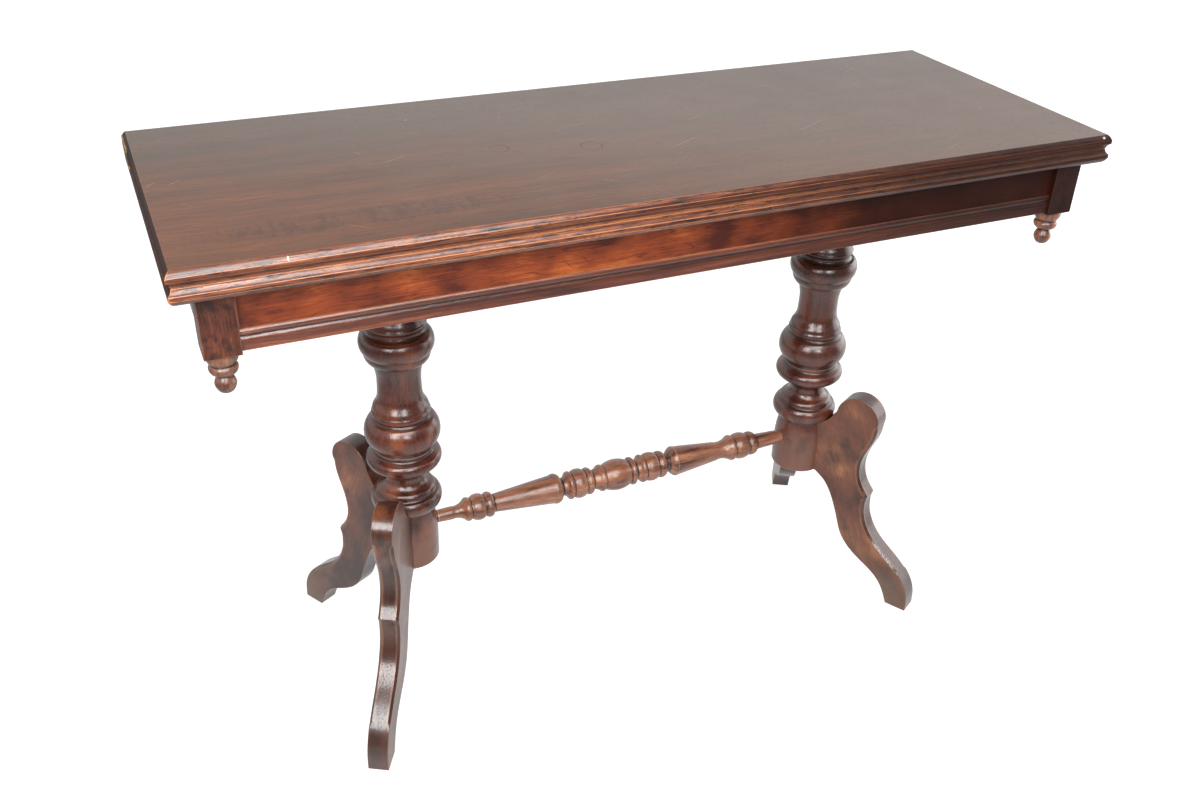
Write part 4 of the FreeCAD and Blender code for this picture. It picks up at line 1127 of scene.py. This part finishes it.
# Countersunk screws, one tree for every group: a head with a slot, set at points with a twist of its own
screws = {
    "sizes": {"Head Radius": 3.4, "Head Height": 1.8, "Shank Radius": 1.75, "Tip Radius": 0.4, "Slot Width": 0.8,
              "Slot Depth": 0.9},
    "wearBend": 900.0, "smoothAngle": 30,
    "hinge": {"x": 599.7, "reach": 64, "shares": (0.22, 0.50, 0.78), "length": 16},
    "runner": {"z": 723.6, "y": (40.65, 171.6), "shares": (0.12, 0.50, 0.88), "length": 30},
    "keeper": {"z": 741.4, "off": (-23.65, 23.65), "y": (-172, 172), "shares": (0.10, 0.50, 0.90), "length": 24},
    "bearer": {"z": 674.0, "off": (-15, 15), "y": (-172, 172), "shares": (0.18, 0.82), "length": 40},
}


def screwTree():
    tree, add, given = newTree("countersunk screws", {
        "Length": "Float", **{label: "Float" for label in screws["sizes"]}, "Seed": "Int"})
    # the screw points down its own Z, with the flat of its head at the origin
    head = add("GeometryNodeMeshCone", {"fill_type": "NGON"}, {
        "Vertices": 32, "Radius Top": given["Shank Radius"],
        "Radius Bottom": given["Head Radius"], "Depth": given["Head Height"]})
    shank = add("GeometryNodeMeshCone", {"fill_type": "NGON"}, {
        "Vertices": 16, "Side Segments": 4, "Radius Top": given["Tip Radius"],
        "Radius Bottom": given["Shank Radius"], "Depth": given["Length"]})
    slotLength = add("Math", times, (given["Head Radius"], 3.0))
    slotHeight = add("Math", times, (given["Slot Depth"], 2.0))
    slotSize = add("CombineXYZ", None, (slotLength, given["Slot Width"], slotHeight))
    slot = add("GeometryNodeMeshCube", None, {"Size": slotSize})
    slotted = add("GeometryNodeMeshBoolean", {"operation": "DIFFERENCE", "solver": "EXACT"}, (head, slot))
    joined = add("GeometryNodeJoinGeometry")
    tree.links.new(slotted.outputs[0], joined.inputs[0])
    lowered = add("GeometryNodeTransform", None, {
        "Geometry": shank,
        "Translation": add("CombineXYZ", None, {2: given["Slot Depth"]})})
    tree.links.new(lowered.outputs[0], joined.inputs[0])
    axis = add("GeometryNodeInputNamedAttribute", {"data_type": "FLOAT_VECTOR"}, {"Name": "axis"})
    facing = add("FunctionNodeAlignRotationToVector", {"axis": "Z"}, {"Vector": axis})
    twist = add("FunctionNodeRandomValue", {"data_type": "FLOAT"}, {2: 0.0, 3: 3.14, "Seed": given["Seed"]})
    spun = add("FunctionNodeAxisAngleToRotation", None, {"Axis": (0, 0, 1), "Angle": twist.outputs[1]})
    turned = add("FunctionNodeRotateRotation", {"rotation_space": "LOCAL"}, (facing, spun))
    placed = add("GeometryNodeInstanceOnPoints", None, {
        "Points": given["Geometry"], "Instance": joined, "Rotation": turned})
    endTree(add, given, placed)
    return tree


screwGroup = screwTree()


def screwPiece(name, spots, axes, length, body, node, slotName, material, seed):
    mesh = bpy.data.meshes.new("screw spots")
    mesh.from_pydata([Vector(spot) * mm for spot in spots], [], [])
    storeAttribute(mesh, "axis", "FLOAT_VECTOR", np.array(axes, float))
    sizes = {**screws["sizes"], "Length": length - screws["sizes"]["Slot Depth"]}
    made = modified(mesh, "NODES", {"node_group": screwGroup}, {
        **{label: value * mm for label, value in sizes.items()}, "Seed": seed, "Material": material})
    finishPiece(name, made, body, slotName, [node], (0, 0, 1), seed, screws["wearBend"], screws["smoothAngle"],
                material)


def between(shares, start, stop):
    return [start + share * (stop - start) for share in shares]


hingeY = leaves["arris"][1]
group = screws["hinge"]
for word, up in (("upper", 1), ("lower", -1)):
    height = leaves["meeting"] + up * leaves["strapMiddle"]
    spots = [(side * group["x"], y, height) for side in (-1, 1)
             for y in between(group["shares"], hingeY, hingeY - group["reach"])]
    axes = [(-math.copysign(1, x), 0, 0) for x, y, z in spots]
    screwPiece(f"screws-hinge-{word}", spots, axes, group["length"], f"{word}_leaf", f"hinge_screws_{word}", "brass",
               agedBrass, 70 + up)
for number, (word, body, up) in enumerate((("runner", "lower_leaf", 1), ("keeper", "frame", -1),
                                           ("bearer", "frame", 1))):
    group = screws[word]
    spots = [(side * columns["spacing"] + off, y, group["z"]) for side in (-1, 1)
             for off in group.get("off", (0,)) for y in between(group["shares"], *group["y"])]
    screwPiece(f"screws-{word}", spots, [(0, 0, up)] * len(spots), group["length"], body, f"{word}_screws",
               "screw_steel", screwSteel, 73 + number)
print("screws set")


# Parts that keep their CAD shape: inner boards, runners, guides, dowels and the hinges
kept = {
    beechAcross: [f"{word}_{part}" for word, side in sides for part in (
        "runner", "guide_rail", "keeper_inner", "keeper_outer", "column_bearer")],
    beechAlong: ["well_bottom", "leg_dowels"],
    agedBrass: [f"{word}_{part}" for word, side in sides for part in (
        "hinge_plate_upper", "hinge_plate_lower", "hinge_pin")],
}
for material, names in kept.items():
    for nodeName in names:
        dress(nodes[nodeName].data, material)
print("kept nodes dressed")


# Room: a pale floor without an edge, white walls and ceiling that are dimmer on the camera side, and soft lamps
room = {
    "fill": 0.17, "frontWall": 0.25, "floorColour": "#a8a8a8", "floorGlow": 0.88, "mirroredGlow": 0.5,
    "floorSize": 30.0, "floorRoughness": 0.35, "brightSpot": (500, 400), "brightReach": (900, 2000),
    "wallSpan": (-0.45, 0.35),   # from the dim wall behind the camera to the bright one
    "lamps": [   # place, aim, width, height, watts
        ((-1.63, -1.55, 1.75), (-0.2, 0, 0.5), 0.8, 1.25, 42.0),
        ((-0.35, -3.10, 1.90), (0, 0, 0.5), 0.9, 0.9, 36.0),
        ((-0.3, -1.9, 2.5), (-0.2, -0.1, 0.7), 2.0, 1.1, 50.0),
        ((2.6, 0.1, 0.7), (0, 0, 0.3), 2.4, 1.6, 27.0)],
}


# What camera rays see, and what reflections and clear things see
def rayKinds(add):
    path = add("LightPath").outputs
    return path["Is Camera Ray"], add("Math", larger, (path["Is Glossy Ray"], path["Is Transmission Ray"]))


def lightRoom():
    world = bpy.data.worlds.new("white room")
    scene.world = world
    world.use_nodes = True
    world.node_tree.nodes.clear()
    add = partial(addNode, world.node_tree)
    seen, mirrored = rayKinds(add)
    towards = add("TexCoord").outputs["Generated"]
    split = add("SeparateXYZ", None, (towards,)).outputs
    depth = add("Math", plus, (split[1], split[2]))
    dim, bright = room["wallSpan"]
    wall = add("MapRange", smooth, {"Value": depth, "From Min": dim, "From Max": bright, "To Min": room["frontWall"]})
    wall = add("Math", times, (mirrored, wall))
    white = add("Math", larger, (seen, wall))
    fill = add("Math", larger, (seen, mirrored))
    fill = add("Math", timesPlus, (fill, -room["fill"], room["fill"]))
    strength = add("Math", plus, (white, fill))
    sky = add("Background", None, {"Color": (1, 1, 1, 1), "Strength": strength})
    add("OutputWorld", None, {"Surface": sky})

    for number, (place, aim, width, height, watts) in enumerate(room["lamps"]):
        data = bpy.data.lights.new(f"softbox {number}", "AREA")
        data.shape, data.size, data.size_y, data.energy = "RECTANGLE", width, height, watts
        lamp = bpy.data.objects.new(f"softbox {number}", data)
        lamp.location = place
        lamp.rotation_euler = (Vector(aim) - Vector(place)).to_track_quat("-Z", "Y").to_euler()
        scene.collection.objects.link(lamp)

    # painted floor with a faint sheen; it glows towards the camera, and less in reflections, where the glow is a
    # painted pool of light round a spot behind the right half of the table
    material, add = emptyMaterial("white painted floor")
    seen, mirrored = rayKinds(add)
    onFloor = add("TexCoord").outputs["Object"]
    near, far = room["brightReach"]
    back = add("MapRange", smooth, {
        "Value": fromSpot(add, onFloor, room["brightSpot"], (1, 1)), "From Min": far, "From Max": near,
        "To Max": room["mirroredGlow"]})
    mirrored = add("Math", times, (mirrored, back))
    glow = add("Math", timesPlus, (seen, room["floorGlow"], mirrored))
    paint = add("BsdfPrincipled", None, {
        "Base Color": linear(room["floorColour"]), "Roughness": room["floorRoughness"], "Specular IOR Level": 0.5,
        "Emission Color": (1, 1, 1, 1), "Emission Strength": glow})
    add("OutputMaterial", None, {"Surface": paint})
    half = room["floorSize"] / 2
    mesh = meshOf("floor", [(-half, -half, 0), (half, -half, 0), (half, half, 0), (-half, half, 0)], [(0, 1, 2, 3)])
    mesh.materials.append(material)
    floor = bpy.data.objects.new("floor", mesh)
    scene.collection.objects.link(floor)


lightRoom()
scene.view_settings.view_transform = "Standard"
print("room lit")
